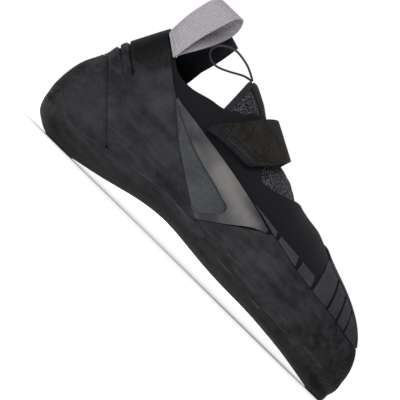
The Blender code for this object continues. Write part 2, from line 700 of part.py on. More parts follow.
def make_midfoot():
    fabric = edge_on(FABRIC_EDGE, RUBBER_OUT)
    wing = edge_on(WING_EDGE, RUBBER_OUT, HALF_GAP)
    slit = edge_on(SLIT, RUBBER_OUT, HALF_GAP)
    panel_top = edge_on(PANEL_TOP, PANEL_OUT)
    panel_low = edge_on(PANEL_LOW, PANEL_OUT)
    phi_corner = LAST.phi_at(WING_EDGE[-1][0])

    def low(phi, side):
        return wing(phi, side) if phi < phi_corner else slit(phi, side)

    rand_planes = stations(LAST.phi_at(62.5), LAST.phi_at(SIDE_RAND_END), (phi_corner,))
    panel_planes = stations(LAST.phi_at(70.0), LAST.phi_at(131.2), (LAST.phi_at(118.0),))
    for side, word in ((-1, "outer"), (1, "inner")):
        band("side_rand_" + word, "gloss_rubber", rand_planes, low, fabric, sides=(side,))
        band("side_panel_" + word, "panel", panel_planes, panel_low, panel_top,
             PANEL_IN, PANEL_OUT, sides=(side,))


def make_front_rand():
    sole_edge = edge_on(OUTSOLE_EDGE, RUBBER_OUT, GAP)
    slit = edge_on(SLIT, RUBBER_OUT, -HALF_GAP)
    patch = edge_on(PATCH_LOW, RUBBER_OUT, -HALF_GAP)
    phi_slit = LAST.phi_at(SLIT[-1][0])
    phi_cap = crest_crossing(PATCH_LOW, RUBBER_OUT, -HALF_GAP, 230.0, 250.5)

    def high(phi, side):
        return slit(phi, side) if phi < phi_slit else patch(phi, side)

    cap_turn = [phi_cap - step for step in (0.01, 0.04)]
    phis = stations(LAST.phi_at(SOLE_SPLIT + 0.8), math.pi,
                    (LAST.phi_at(SIDE_RAND_END), phi_slit, *cap_turn, phi_cap))
    band("front_rand", "rubber", phis, sole_edge, high)


def make_toe_pads():
    low_edge = edge_on(PATCH_LOW, PAD_OUT, HALF_GAP)
    early_edge = edge_on(FABRIC_EDGE, PAD_OUT, HALF_GAP)
    top_edge = edge_on(SIDE_PAD_TOP, PAD_OUT)
    for number, (back_low, back_top, front_low, front_top, full) in enumerate(PADS, start=1):
        grid = []
        for across in np.linspace(0, 1, 4):
            row = []
            for rise in np.linspace(0, 1, 8 if full else 3):
                back = back_low + (back_top - back_low) * rise ** 1.3
                front = front_low + (front_top - front_low) * rise ** 1.3
                phi = LAST.phi_at(back + (front - back) * across)
                low = max(low_edge(phi, -1), early_edge(phi, -1)) if number == 1 else low_edge(phi, -1)
                high = TOE_SEAM if full else top_edge(phi, -1)
                t = low + (max(high, low + 0.4) - low) * rise
                row.append((LAST.skin(phi, t, LAYER_IN), LAST.skin(phi, t, PAD_OUT)))
            grid.append(row)
        build_solid(f"toe_pad_{number}", "pad", [grid])


def make_toe_patch():
    # Plain rubber over the big toe: from the seam beside the crest down the inner side
    low_edge = edge_on(PATCH_LOW, PAD_OUT, HALF_GAP)
    phi_start = LAST.phi_at(TOE_PATCH_BACK)
    phi_full = LAST.phi_at(TOE_PATCH_FULL)
    phi_end = crest_crossing(PATCH_LOW, PAD_OUT, HALF_GAP, 230.0, 250.5)
    seam = TOE_SEAM + 1.2

    def back_edge(phi):
        share = min(1.0, (phi - phi_start) / (phi_full - phi_start))
        return low_edge(phi, 1) + (seam - low_edge(phi, 1)) * (0.06 + 0.94 * share)

    before = phi_start
    phi_crest = phi_full
    for _ in range(30):
        middle = (before + phi_crest) / 2
        if back_edge(middle) > 90:
            before = middle
        else:
            phi_crest = middle
    turns = np.linspace(phi_start, phi_full, 8)[1:]
    grids = [[], []]
    for phi in stations(phi_start, phi_end, (phi_crest, *turns)):
        last = low_edge(phi, 1)
        first = 90.0 if phi == phi_crest else back_edge(phi)
        if phi == phi_end:
            first = last = 90.0
        if phi >= phi_full:
            first = max(first, low_edge(phi, -1))
        for grid, side in zip(grids, (-1, 1)):
            low = min(first, 90.0) if side < 0 else last
            high = 90.0 if side < 0 else max(first, 90.0)
            grid.append(layer_row(phi, rungs(phi, side, low, high), LAYER_IN, PAD_OUT + 0.2))
    return build_solid("toe_patch", "rubber", grids)


def make_strap():
    rows = []
    for side, back_x, back_z, front_x, front_z, lift in STRAP_ROWS:
        ends = []
        for x, z in ((back_x, back_z), (front_x, front_z)):
            if side == 0:
                ends.append((LAST.phi_at(x), 90.0))
            else:
                ends.append(LAST.place(x, z, side, LAYER_IN + 2.0))
        rows.append((ends[0][0], ends[0][1], ends[1][0], ends[1][1], lift))
    keys = np.arange(len(rows), dtype=float)
    read = [natural_spline(keys, [row[i] for row in rows]) for i in range(5)]
    grid = []
    for key in np.linspace(0, len(rows) - 1, 19):
        back_phi, back_t, front_phi, front_t, lift = (curve(key) for curve in read)
        row = []
        for share in np.linspace(0, 1, 6):
            phi = back_phi + (front_phi - back_phi) * share
            t = back_t + (front_t - back_t) * share
            inside = LAYER_IN + 0.15 + max(lift, 0.0)
            row.append((LAST.skin(phi, t, inside), LAST.skin(phi, t, inside + 2.2)))
        grid.append(row)
    return build_solid("strap", "suede", [grid])


def ribbon(name, finish, rows, thickness, steps=24):
    # Webbing through rows of points, given a thickness about its middle surface
    rows = np.array(rows)
    keys = np.arange(len(rows), dtype=float)
    samples = np.linspace(0, len(rows) - 1, steps)
    middle = np.zeros((steps, WEBBING_POINTS, 3))
    for j in range(WEBBING_POINTS):
        for axis in range(3):
            read = natural_spline(keys, rows[:, j, axis])
            middle[:, j, axis] = [read(key) for key in samples]
    along = np.gradient(middle, axis=0)
    over = np.gradient(middle, axis=1)
    normal = np.cross(along, over)
    normal /= np.linalg.norm(normal, axis=2, keepdims=True)
    half = normal * thickness / 2
    grid = [list(zip(middle[i] - half[i], middle[i] + half[i])) for i in range(steps)]
    return build_solid(name, finish, [grid])


def sewn_row(rear_x, rear_z, front_x, front_z, side, offset):
    # A row of webbing that lies on the collar between two points seen from the side
    row = []
    for share in np.linspace(0, 1, WEBBING_POINTS):
        x = rear_x + (front_x - rear_x) * share
        z = rear_z + (front_z - rear_z) * share
        phi, t = LAST.place(x, z, side, offset)
        row.append(LAST.skin(phi, t, offset))
    return row


def free_row(values):
    # A row of webbing in the air, bowed outwards between its two ends
    rear = np.array(values[:3])
    front = np.array(values[3:6])
    outward = np.array([rear[1] - front[1], front[0] - rear[0], 0.0])
    outward /= -np.linalg.norm(outward)
    return [rear + (front - rear) * share + outward * values[6] * 4 * share * (1 - share)
            for share in np.linspace(0, 1, WEBBING_POINTS)]


def make_pull_loops():
    near = LAYER_IN + WEBBING * 1.5 + GAP + 0.5
    far = LAYER_IN + WEBBING / 2 + 0.15
    ends = [sewn_row(*values) for values in (
        (31.0, 96.4, 43.4, 87.4, -1, near), (31.0, 99.0, 44.2, 90.6, -1, near),
        (33.6, 101.4, 46.0, 92.8, -1, far), (31.6, 96.8, 43.8, 88.0, -1, far))]
    free = [free_row(values) for values in OUTER_LOOP]
    ribbon("pull_loop_outer", "grey_webbing", ends[:2] + free + ends[2:], WEBBING)
    inside = -WEBBING / 2 - 0.9
    deeper = inside - WEBBING - 1.2
    ends = [sewn_row(*values) for values in (
        (44.0, 78.0, 59.0, 74.5, 1, inside), (44.0, 83.0, 59.6, 79.5, 1, inside),
        (44.0, 83.0, 59.6, 79.5, 1, deeper), (44.0, 78.0, 59.0, 74.5, 1, deeper))]
    free = [free_row(values) for values in INNER_LOOP]
    ribbon("pull_loop_inner", "black_webbing", ends[:2] + free + ends[2:], WEBBING)


def make_tongue_cord():
    points = np.array(CORD_ROUTE)
    run = np.concatenate([[0], np.cumsum(np.linalg.norm(np.diff(points, axis=0), axis=1))])
    read = [natural_spline(run, points[:, i]) for i in range(3)]
    curve = bpy.data.curves.new("tongue_cord", "CURVE")
    curve.dimensions = "3D"
    spline = curve.splines.new("POLY")
    places = [placed([r(s) for r in read]) for s in np.linspace(0, run[-1], 30)]
    spline.points.add(len(places) - 1)
    for point, place in zip(spline.points, places):
        point.co = (*place, 1.0)
    curve.bevel_depth = CORD_RADIUS * MM
    curve.bevel_resolution = 1
    curve.use_fill_caps = True
    curve.materials.append(finish_for(("tongue_cord", "black_webbing")))
    obj = bpy.data.objects.new("tongue_cord", curve)
    bpy.context.scene.collection.objects.link(obj)
    return obj


def main():
    clear_scene()
    make_upper()
    make_insole()
    make_tongue()
    make_tongue_band()
    make_soles()
    make_heel()
    make_midfoot()
    make_front_rand()
    make_toe_pads()
    make_toe_patch()
    make_strap()
    make_pull_loops()
    make_tongue_cord()


main()
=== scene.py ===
import bpy
import bmesh
import json
import math
import numpy as np
from mathutils import Matrix, Vector

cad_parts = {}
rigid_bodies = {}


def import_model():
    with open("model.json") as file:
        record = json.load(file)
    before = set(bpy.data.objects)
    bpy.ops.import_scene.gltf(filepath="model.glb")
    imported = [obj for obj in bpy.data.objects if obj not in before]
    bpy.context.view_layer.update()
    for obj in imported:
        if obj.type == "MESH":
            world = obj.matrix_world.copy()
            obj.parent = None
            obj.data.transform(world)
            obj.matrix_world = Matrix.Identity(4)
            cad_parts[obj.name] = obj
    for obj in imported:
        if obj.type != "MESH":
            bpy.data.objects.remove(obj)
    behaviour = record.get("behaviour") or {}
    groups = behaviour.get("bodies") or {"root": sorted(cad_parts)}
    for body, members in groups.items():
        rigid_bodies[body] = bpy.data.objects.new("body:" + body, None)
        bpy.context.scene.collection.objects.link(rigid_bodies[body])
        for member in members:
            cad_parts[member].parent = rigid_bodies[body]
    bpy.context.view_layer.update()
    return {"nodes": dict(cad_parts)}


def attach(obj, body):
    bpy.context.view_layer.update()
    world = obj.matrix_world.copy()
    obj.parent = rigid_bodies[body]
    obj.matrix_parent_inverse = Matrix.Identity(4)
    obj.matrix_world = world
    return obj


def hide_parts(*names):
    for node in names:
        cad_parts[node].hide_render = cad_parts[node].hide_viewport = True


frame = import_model()
scene = bpy.context.scene
print("frame loaded")

originX = 28.5  # mm from the back of the drawing frame to the middle of the heel's rest spot


def toRow(points):
    # drawing millimetres to metres in the row frame
    return (np.asarray(points, float) - np.array([originX, 0.0, 0.0])) * 0.001


# ---- camera: square on to the outer side, rolled as the photograph is
view = {"roll": 44.44, "centreX": 115.2, "centreZ": 36.9, "width": 0.2434, "distance": 4.5, "raise": 0.4}


def makeCamera():
    roll = math.radians(view["roll"])
    lift = math.radians(view["raise"])
    look = Vector((0, math.cos(lift), -math.sin(lift)))
    level = Vector((1, 0, 0))
    above = level.cross(look)
    right = level * math.cos(roll) + above * math.sin(roll)
    up = above * math.cos(roll) - level * math.sin(roll)
    data = bpy.data.cameras.new("photoCamera")
    data.sensor_width = 36.0
    data.lens = 36.0 * view["distance"] / view["width"]
    data.clip_start = 0.05
    data.clip_end = 20.0
    camera = bpy.data.objects.new("photoCamera", data)
    scene.collection.objects.link(camera)
    centre = Vector(toRow((view["centreX"], 0.0, view["centreZ"])))
    matrix = Matrix((right, up, -look)).transposed().to_4x4()
    matrix.translation = centre - look * view["distance"]
    camera.matrix_world = matrix
    scene.camera = camera


makeCamera()

# ---- the tongue's cord, a loop that leaves the tongue's tip and goes back into it
cordRoute = (
    (87.3, -1.6, 110.9), (85.6, -2.2, 112.0), (83.0, -3.4, 113.4), (79.0, -5.0, 115.2),
    (73.0, -6.8, 116.6), (68.0, -8.2, 117.0), (63.0, -9.4, 115.6), (59.0, -10.2, 113.0),
    (56.6, -10.6, 109.8), (56.4, -10.4, 106.2), (58.6, -9.8, 103.4), (62.0, -8.8, 102.0),
    (66.5, -7.4, 102.2), (71.5, -5.8, 104.2), (76.5, -4.0, 106.8), (81.0, -1.8, 109.2),
    (84.6, 0.4, 110.2), (87.3, 1.4, 110.6),
)
cordLook = {"radius": 0.0007, "points": 72}


def smoothLine(knots, values):
    # natural spline through a column, for one value or an array of them
    x = np.asarray(knots, float)
    y = np.asarray(values, float)
    n = len(x)
    step = np.diff(x)
    matrix = np.eye(n)
    right = np.zeros(n)
    for i in range(1, n - 1):
        matrix[i, i - 1:i + 2] = step[i - 1], 2 * (step[i - 1] + step[i]), step[i]
        right[i] = 6 * ((y[i + 1] - y[i]) / step[i] - (y[i] - y[i - 1]) / step[i - 1])
    bend = np.linalg.solve(matrix, right)

    def read(at):
        at = np.clip(np.asarray(at, float), x[0], x[-1])
        i = np.clip(np.searchsorted(x, at) - 1, 0, n - 2)
        left = (x[i + 1] - at) / step[i]
        near = (at - x[i]) / step[i]
        curve = ((left ** 3 - left) * bend[i] + (near ** 3 - near) * bend[i + 1]) * step[i] ** 2 / 6
        return left * y[i] + near * y[i + 1] + curve

    return read


def routePoints(route, count):
    points = np.array(route, float)
    run = np.concatenate([[0], np.cumsum(np.linalg.norm(np.diff(points, axis=0), axis=1))])
    at = np.linspace(0, run[-1], count)
    return np.stack([smoothLine(run, points[:, i])(at) for i in range(3)], axis=1)


def makeCord():
    places = toRow(routePoints(cordRoute, cordLook["points"]))
    curve = bpy.data.curves.new("tongueCord", "CURVE")
    curve.dimensions = "3D"
    spline = curve.splines.new("POLY")
    spline.points.add(len(places) - 1)
    for point, place in zip(spline.points, places):
        point.co = (*place, 1.0)
        point.radius = cordLook["radius"]
    # the points carry the radius, so that the curve's own bounds stay close to it
    curve.bevel_depth = 1.0
    curve.bevel_resolution = 4
    curve.use_fill_caps = True
    cord = bpy.data.objects.new("tongueCord", curve)
    scene.collection.objects.link(cord)
    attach(cord, "root")
    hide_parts("tongue_cord")
    return cord


tongueCord = makeCord()
print("camera and cord made")

# ---- the last: one row for each section from heel to toe, in millimetres
lastColumns = ("station", "outer", "inner", "crest", "low", "wide", "top", "ground",
               "roundTop", "roundLow", "roundGround")
lastRows = (
    (6.2, 0.0, 0.0, 0.0, 27.0, 27.0, 27.0, 27.0, 2.1, 2.2, 2.3),
    (9.4, -13.0, 13.0, 0.0, 15.5, 27.2, 47.0, 9.6, 2.1, 2.2, 2.3),
    (15.0, -21.0, 21.0, 0.0, 10.0, 27.5, 58.5, 4.4, 2.1, 2.3, 2.4),
    (21.0, -25.0, 25.0, 0.0, 7.4, 27.8, 74.5, 1.0, 2.1, 2.3, 2.5),
    (27.0, -27.3, 27.3, 0.0, 6.1, 28.0, 87.0, -0.4, 2.1, 2.4, 2.5),
    (33.0, -28.5, 28.3, 0.0, 5.7, 28.4, 98.0, -0.7, 2.1, 2.4, 2.6),
    (40.0, -29.0, 28.5, 0.0, 6.1, 29.0, 109.0, -0.1, 2.1, 2.4, 2.6),
    (50.0, -29.2, 28.2, 0.2, 7.6, 30.0, 115.5, 1.7, 2.1, 2.5, 2.7),
    (70.0, -29.8, 26.8, 0.8, 12.0, 32.0, 115.5, 6.1, 2.1, 2.6, 3.0),
    (90.0, -30.8, 25.5, 2.0, 16.8, 33.0, 109.8, 10.9, 2.05, 2.6, 3.2),
    (110.0, -33.0, 26.5, 4.0, 18.8, 34.0, 99.2, 12.9, 2.0, 2.7, 3.4),
    (130.0, -36.3, 31.0, 6.0, 17.2, 32.0, 89.2, 11.2, 2.0, 2.8, 3.8),
    (150.0, -39.6, 38.0, 8.0, 15.2, 29.0, 80.8, 9.3, 2.0, 2.9, 4.2),
    (165.0, -41.2, 43.0, 9.8, 14.6, 27.0, 74.3, 8.7, 2.0, 3.0, 4.5),
    (180.0, -41.0, 46.3, 12.0, 14.2, 25.5, 71.6, 8.3, 2.0, 3.0, 4.5),
    (195.0, -38.0, 47.3, 14.2, 13.2, 24.0, 65.2, 7.1, 2.05, 3.0, 4.5),
    (210.0, -31.8, 46.6, 16.2, 11.6, 22.0, 59.4, 5.4, 2.1, 3.0, 4.5),
    (225.0, -21.5, 44.0, 18.0, 9.2, 19.5, 53.0, 2.8, 2.15, 2.9, 4.3),
    (234.0, -12.5, 41.0, 18.8, 7.6, 17.8, 47.6, 1.0, 2.2, 2.8, 4.0),
    (240.0, -5.0, 37.8, 19.2, 7.0, 16.6, 42.6, 0.0, 2.2, 2.7, 3.8),
    (246.0, 5.0, 33.0, 19.4, 7.4, 15.6, 34.6, -0.6, 2.2, 2.6, 3.6),
    (249.0, 11.5, 28.3, 19.5, 9.4, 15.2, 27.2, -0.2, 2.2, 2.5, 3.4),
    (251.0, 19.5, 19.5, 19.5, 15.0, 15.0, 15.0, 15.0, 2.2, 2.4, 3.2),
)
# heights of each layer above the last
layers = {"upper": 1.8, "seat": 2.25, "rubber": 3.55, "pad": 3.15, "panel": 4.35, "tongue": -0.95, "soleLip": 3.8}

# edge lines as the side view shows them, (x, z)
collarEdge = ((38.0, 100.0), (41.0, 93.0), (44.0, 88.2), (48.0, 84.6), (52.0, 82.4), (60.0, 81.3),
              (66.0, 81.7), (72.0, 83.2), (79.0, 84.8), (86.0, 85.9), (92.0, 88.7), (99.0, 93.0))
slingEdge = ((4.0, 21.5), (9.0, 19.6), (20.0, 16.9), (30.0, 15.6), (40.0, 16.6), (50.0, 18.9),
             (60.0, 20.6), (75.0, 23.3), (90.0, 25.2), (105.0, 25.5), (122.5, 25.2))
toeSoleEdge = ((122.5, 25.2), (128.0, 25.8), (135.0, 26.4), (142.0, 26.0), (150.0, 23.4), (160.0, 19.6),
               (175.0, 16.0), (190.0, 13.4), (205.0, 12.0), (220.0, 10.6), (235.0, 9.0), (247.0, 7.6),
               (253.6, 7.4))
heelGroove = ((15.0, 59.0), (18.0, 56.3), (25.0, 49.0), (35.0, 38.5), (45.0, 28.5), (52.0, 20.6))
cuffEdge = ((30.2, 98.8), (31.4, 95.6), (36.0, 91.4), (42.5, 86.0), (50.0, 79.6), (56.0, 75.0), (61.0, 71.8))
wingEdge = ((61.0, 71.8), (66.0, 67.0), (72.0, 61.5), (80.0, 54.8), (88.0, 48.8), (100.0, 40.5),
            (110.0, 33.8), (121.6, 26.4))
fabricEdge = ((61.0, 72.2), (70.0, 70.5), (80.0, 69.0), (92.0, 66.8), (100.0, 65.5), (110.0, 63.8),
              (120.0, 62.0), (130.0, 60.0), (140.0, 57.8), (150.0, 55.2), (160.5, 52.2))
slitEdge = ((121.6, 27.0), (132.0, 34.4), (140.0, 40.0), (150.0, 47.0), (160.5, 51.6))
panelTop = ((64.5, 69.6), (72.0, 65.6), (80.0, 61.5), (90.0, 57.3), (100.0, 54.0), (110.0, 51.3), (120.0, 48.5),
            (127.5, 46.4), (130.6, 44.4), (131.6, 42.0))
panelLow = ((64.5, 69.2), (72.0, 63.2), (80.0, 56.0), (90.0, 48.3), (100.0, 41.4), (110.0, 34.6), (117.5, 29.6),
            (121.5, 32.4), (127.0, 37.4), (130.6, 40.4), (131.6, 41.8))
patchLow = ((160.5, 53.0), (165.5, 52.4), (176.0, 50.0), (187.0, 47.6), (202.0, 45.2), (217.0, 43.3),
            (226.0, 42.0), (236.0, 40.0), (243.5, 39.0))
sidePadTop = ((140.0, 58.6), (150.0, 57.7), (162.0, 56.2), (180.0, 54.8), (198.0, 52.6))
sliverLow = ((140.0, 58.3), (150.0, 56.4), (158.0, 54.2), (163.6, 52.8))
slotWidths = ((99.0, 18.4, 15.0), (104.0, 13.6, 8.5), (109.0, 10.5, 6.0), (118.0, 13.0, 8.0), (125.0, 21.0, 14.0),
              (130.0, 28.4, 17.5), (134.0, 31.0, 19.5), (142.0, 30.0, 20.0), (150.0, 25.0, 16.0),
              (156.0, 16.0, 10.0), (160.0, 5.5, 4.0))  # station, reach on the outer side, on the inner side


def edgeLine(points, lift=0.0):
    read = smoothLine([p[0] for p in points], [p[1] for p in points])
    return lambda x: read(x) + lift


class Last:
    # rounded sections joined from heel to toe. phi runs 0 at the heel to pi at the toe, and the
    # angle t runs round a section: 0 outer side, 90 crest, 180 inner side, -90 underneath

    def __init__(self, start, length, changes=None):
        self.start = start
        self.length = length
        first, last = lastRows[0][0], lastRows[-1][0]
        knots = [math.acos(1 - 2 * (row[0] - first) / (last - first)) for row in lastRows]
        columns = {name: [row[i] for row in lastRows] for i, name in enumerate(lastColumns)}
        columns.update(changes or {})
        self.curves = {name: smoothLine(knots, column) for name, column in columns.items()}

    def xAt(self, phi):
        return self.start + self.length * (1 - np.cos(phi)) / 2

    def phiAt(self, x):
        return np.arccos(1 - 2 * np.clip((np.asarray(x, float) - self.start) / self.length, 0, 1))

    def cut(self, phi):
        return {name: curve(phi) for name, curve in self.curves.items()}

    def spots(self, phi, t):
        phi, t = np.broadcast_arrays(np.asarray(phi, float), np.asarray(t, float))
        cut = self.cut(phi)
        c = np.cos(np.radians(t))
        s = np.sin(np.radians(t))
        power = np.where(s >= 0, 2 / cut["roundTop"], 2 / cut["roundLow"])
        height = np.where(s >= 0, cut["top"] - cut["wide"], cut["wide"] - cut["low"])
        reach = np.where(c >= 0, cut["crest"] - cut["outer"], cut["inner"] - cut["crest"])
        y = cut["crest"] - np.sign(c) * reach * np.abs(c) ** power
        z = cut["wide"] + np.sign(s) * height * np.abs(s) ** power
        return np.stack([self.xAt(phi), y, z], axis=-1)

    def level(self, phi, y, z):
        cut = self.cut(phi)
        top = z >= cut["wide"]
        power = np.where(top, cut["roundTop"], cut["roundLow"])
        height = np.maximum(np.where(top, cut["top"] - cut["wide"], cut["wide"] - cut["low"]), 1e-6)
        reach = np.maximum(np.where(y < cut["crest"], cut["crest"] - cut["outer"], cut["inner"] - cut["crest"]),
            1e-6)
        dy = np.abs(y - cut["crest"]) / reach
        dz = np.abs(z - cut["wide"]) / height
        across = power * dy ** (power - 1) / reach * np.where(y > cut["crest"], 1, -1)
        upward = power * dz ** (power - 1) / height * np.where(top, 1, -1)
        return dy ** power + dz ** power, across, upward

    def normals(self, phi, spots):
        phi = np.broadcast_to(phi, spots.shape[:-1])
        safe = np.clip(phi, 1e-4, math.pi - 1e-4)
        h = np.minimum(2e-3, np.minimum(safe, math.pi - safe) / 4)
        y, z = spots[..., 1], spots[..., 2]
        change = (self.level(safe + h, y, z)[0] - self.level(safe - h, y, z)[0]) / (2 * h)
        across, upward = self.level(safe, y, z)[1:]
        run = self.length / 2 * np.sin(safe)
        out = np.stack([change, run * across, run * upward], axis=-1)
        out /= np.maximum(np.linalg.norm(out, axis=-1, keepdims=True), 1e-12)
        out[phi < 1e-4] = (-1.0, 0.0, 0.0)
        out[phi > math.pi - 1e-4] = (1.0, 0.0, 0.0)
        return out

    def skin(self, phi, t, offset, relief=None):
        phi, t = np.broadcast_arrays(np.asarray(phi, float), np.asarray(t, float))
        spots = self.spots(phi, t)
        out = self.normals(phi, spots)
        points = spots + out * offset
        if relief:
            points = points + out * relief(points)[..., None]
        return points

    def angleAt(self, phi, edge, side, offset=0.0):
        # where the surface crosses an edge line, or the crest or keel where it never does
        phi = np.atleast_1d(np.asarray(phi, float))
        low = np.full(phi.shape, -90.0)
        high = np.full(phi.shape, 90.0)
        for _ in range(24):
            middle = (low + high) / 2
            spots = self.skin(phi, middle if side < 0 else 180 - middle, offset)
            below = spots[..., 2] < edge(spots[..., 0])
            low = np.where(below, middle, low)
            high = np.where(below, high, middle)
        middle = (low + high) / 2
        middle = np.where(middle > 89.99, 90.0, np.where(middle < -89.99, -90.0, middle))
        return middle if side < 0 else 180 - middle

    def crossing(self, edge, t, offset, first, last):
        def above(phi):
            spot = self.skin(phi, t, offset)
            return spot[2] > edge(spot[0])

        begins = above(first)
        for _ in range(28):
            middle = (first + last) / 2
            if above(middle) == begins:
                first = middle
            else:
                last = middle
        return (first + last) / 2

    def place(self, x, z, side, offset):
        # section and angle of the point that the side view shows at (x, z)
        station = x
        for _ in range(5):
            phi = self.phiAt(station)
            t = self.angleAt(phi, lambda _: z, side, offset)[0]
            station += x - self.skin(phi, t, offset)[0]
        phi = self.phiAt(station)
        return float(phi), float(self.angleAt(phi, lambda _: z, side, offset)[0])


def widened(column, amount):
    values = [row[lastColumns.index(column)] for row in lastRows]
    return [v + amount if 0 < i < len(values) - 1 else v for i, v in enumerate(values)]


last = Last(6.2, 244.8)
soleForm = Last(6.2 - layers["soleLip"] + 0.2, 245.6 + 2 * (layers["soleLip"] - 0.2), {
    "outer": widened("outer", -layers["soleLip"]), "inner": widened("inner", layers["soleLip"]),
    "low": [row[7] for row in lastRows], "roundLow": [row[10] for row in lastRows]})


def rowsBetween(first, final, spacing=1.5, extra=()):
    # section planes about spacing mm apart, and those that a corner needs
    count = max(3, int(round(last.length * abs(final - first) / 2 / spacing)) + 1)
    planes = np.linspace(first, final, count)
    gap = (final - first) / (count - 1)
    extra = [e for e in extra if first < e < final]
    kept = [p for p in planes if all(abs(p - e) > gap * 0.3 for e in extra)]
    kept[0], kept[-1] = first, final
    return np.array(sorted(kept + extra))


def evenAngles(form, phis, low, high, count):
    # angles that part each row into equal lengths
    share = (1 - np.cos(np.linspace(0, math.pi, 241))) / 2
    fine = low[:, None] + (high - low)[:, None] * share
    spots = form.spots(phis[:, None], fine)
    run = np.concatenate([np.zeros((len(phis), 1)),
                          np.cumsum(np.linalg.norm(np.diff(spots, axis=1), axis=2), axis=1)], axis=1)
    rows = []
    for lengths, angles, a, b in zip(run, fine, low, high):
        if lengths[-1] < 1e-6:
            rows.append(np.linspace(a, b, count))
        else:
            rows.append(np.interp(np.linspace(0, lengths[-1], count), lengths, angles))
    return np.array(rows)


def clothMap(points, fromEnd=False):
    # a flat map of a grid: distance along the rows, and across from the last column or the first
    across = np.concatenate([np.zeros((len(points), 1)),
                             np.cumsum(np.linalg.norm(np.diff(points, axis=1), axis=2), axis=1)], axis=1)
    if fromEnd:
        across = across - across[:, -1:]
    return np.stack([points[..., 0], across], axis=-1) * 0.001


def addPatch(bm, points, flat, outward):
    # a grid whose vertices are moved to the patch's points
    rows, columns = points.shape[:2]
    made = bmesh.ops.create_grid(bm, x_segments=rows - 1, y_segments=columns - 1, size=1.0)
    spots = {}
    row = toRow(points)
    for vert in made["verts"]:
        i = int(round((vert.co.x + 1) / 2 * (rows - 1)))
        j = int(round((vert.co.y + 1) / 2 * (columns - 1)))
        spots[vert] = (i, j)
        vert.co = row[i, j]
    sheet = bm.loops.layers.uv.get("cloth") or bm.loops.layers.uv.new("cloth")
    faces = {face for vert in made["verts"] for face in vert.link_faces}
    lean = 0.0
    for face in faces:
        face.normal_update()
        for loop in face.loops:
            loop[sheet].uv = flat[spots[loop.vert]]
        lean += face.normal.dot(Vector(outward[spots[face.verts[0]]])) * face.calc_area()
    if lean < 0:
        bmesh.ops.reverse_faces(bm, faces=list(faces))


def finishPiece(piece, material, nodes):
    piece.data.materials.clear()
    piece.data.materials.append(material)
    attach(piece, "root")
    if nodes:
        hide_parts(*nodes)
    return piece


def applied(piece, sharpAngle=38):
    # the modifiers' result becomes the mesh, so nothing is left live
    result = bpy.data.meshes.new_from_object(piece.evaluated_get(bpy.context.evaluated_depsgraph_get()))
    piece.modifiers.clear()
    old = piece.data
    piece.data = result
    result.name = old.name
    bpy.data.meshes.remove(old)
    result.shade_smooth()
    result.set_sharp_from_angle(angle=math.radians(sharpAngle))
    return piece


def sheetPiece(name, patches, wall, material, nodes=(), rounding=0.35, offset=-1.0):
    # one wall: the patches are its outer skin, thickened inwards, with its edges rounded
    bm = bmesh.new()
    for points, flat, outward in patches:
        addPatch(bm, points, flat, outward)
    bmesh.ops.remove_doubles(bm, verts=bm.verts[:], dist=2e-5)
    bmesh.ops.dissolve_degenerate(bm, edges=bm.edges[:], dist=1e-6)
    mesh = bpy.data.meshes.new(name)
    bm.to_mesh(mesh)
    bm.free()
    piece = bpy.data.objects.new(name, mesh)
    scene.collection.objects.link(piece)
    thick = piece.modifiers.new("wall", "SOLIDIFY")
    thick.thickness = wall * 0.001
    thick.offset = offset
    if rounding:
        soft = piece.modifiers.new("rounding", "BEVEL")
        soft.width = rounding * 0.001
        soft.segments = 2
        soft.limit_method = "ANGLE"
        soft.angle_limit = math.radians(55)
        soft.use_clamp_overlap = True
    applied(piece)
    return finishPiece(piece, material, nodes)


def layerPatch(phis, low, high, count, offset, relief=None, fromEnd=True):
    t = evenAngles(last, phis, low, high, count)
    points = last.skin(phis[:, None], t, offset, relief)
    outward = last.normals(phis[:, None], last.spots(phis[:, None], t))
    return points, clothMap(points, fromEnd), outward


def bandPiece(name, phis, low, high, count, offset, wall, material, nodes=(), sides=(-1, 1), relief=None,
              rounding=0.35):
    patches = [layerPatch(phis, low(phis, side), high(phis, side), count, offset, relief) for side in sides]
    return sheetPiece(name, patches, wall, material, nodes, rounding)


def onEdge(points, offset, lift=0.0):
    curve = edgeLine(points, lift)
    return lambda phis, side: last.angleAt(phis, curve, side, offset)


def crest(phis, side):
    return np.full(len(phis), 90.0)


def nearSegment(points, a, b, width):
    # 1 on a line seen from the side, falling to 0 over its width
    a, b = np.array(a), np.array(b)
    flat = points[..., [0, 2]]
    along = b - a
    share = np.clip(((flat - a) @ along) / (along @ along), 0, 1)
    gap = np.linalg.norm(flat - (a + share[..., None] * along), axis=-1)
    return np.exp(-(gap / width) ** 2)


# ---- finishes
class Wire:
    # a socket that can be used in sums
    def __init__(self, board, socket):
        self.board = board
        self.socket = socket

    def sum(self, operation, a, b):
        return self.board.add("ShaderNodeMath", {"operation": operation}, {0: a, 1: b})

    def __add__(self, other):
        return self.sum("ADD", self, other)

    def __radd__(self, other):
        return self.sum("ADD", other, self)

    def __sub__(self, other):
        return self.sum("SUBTRACT", self, other)

    def __rsub__(self, other):
        return self.sum("SUBTRACT", other, self)

    def __mul__(self, other):
        return self.sum("MULTIPLY", self, other)

    def __rmul__(self, other):
        return self.sum("MULTIPLY", other, self)

    def __truediv__(self, other):
        return self.sum("DIVIDE", self, other)

    def __pow__(self, other):
        return self.sum("POWER", self, other)


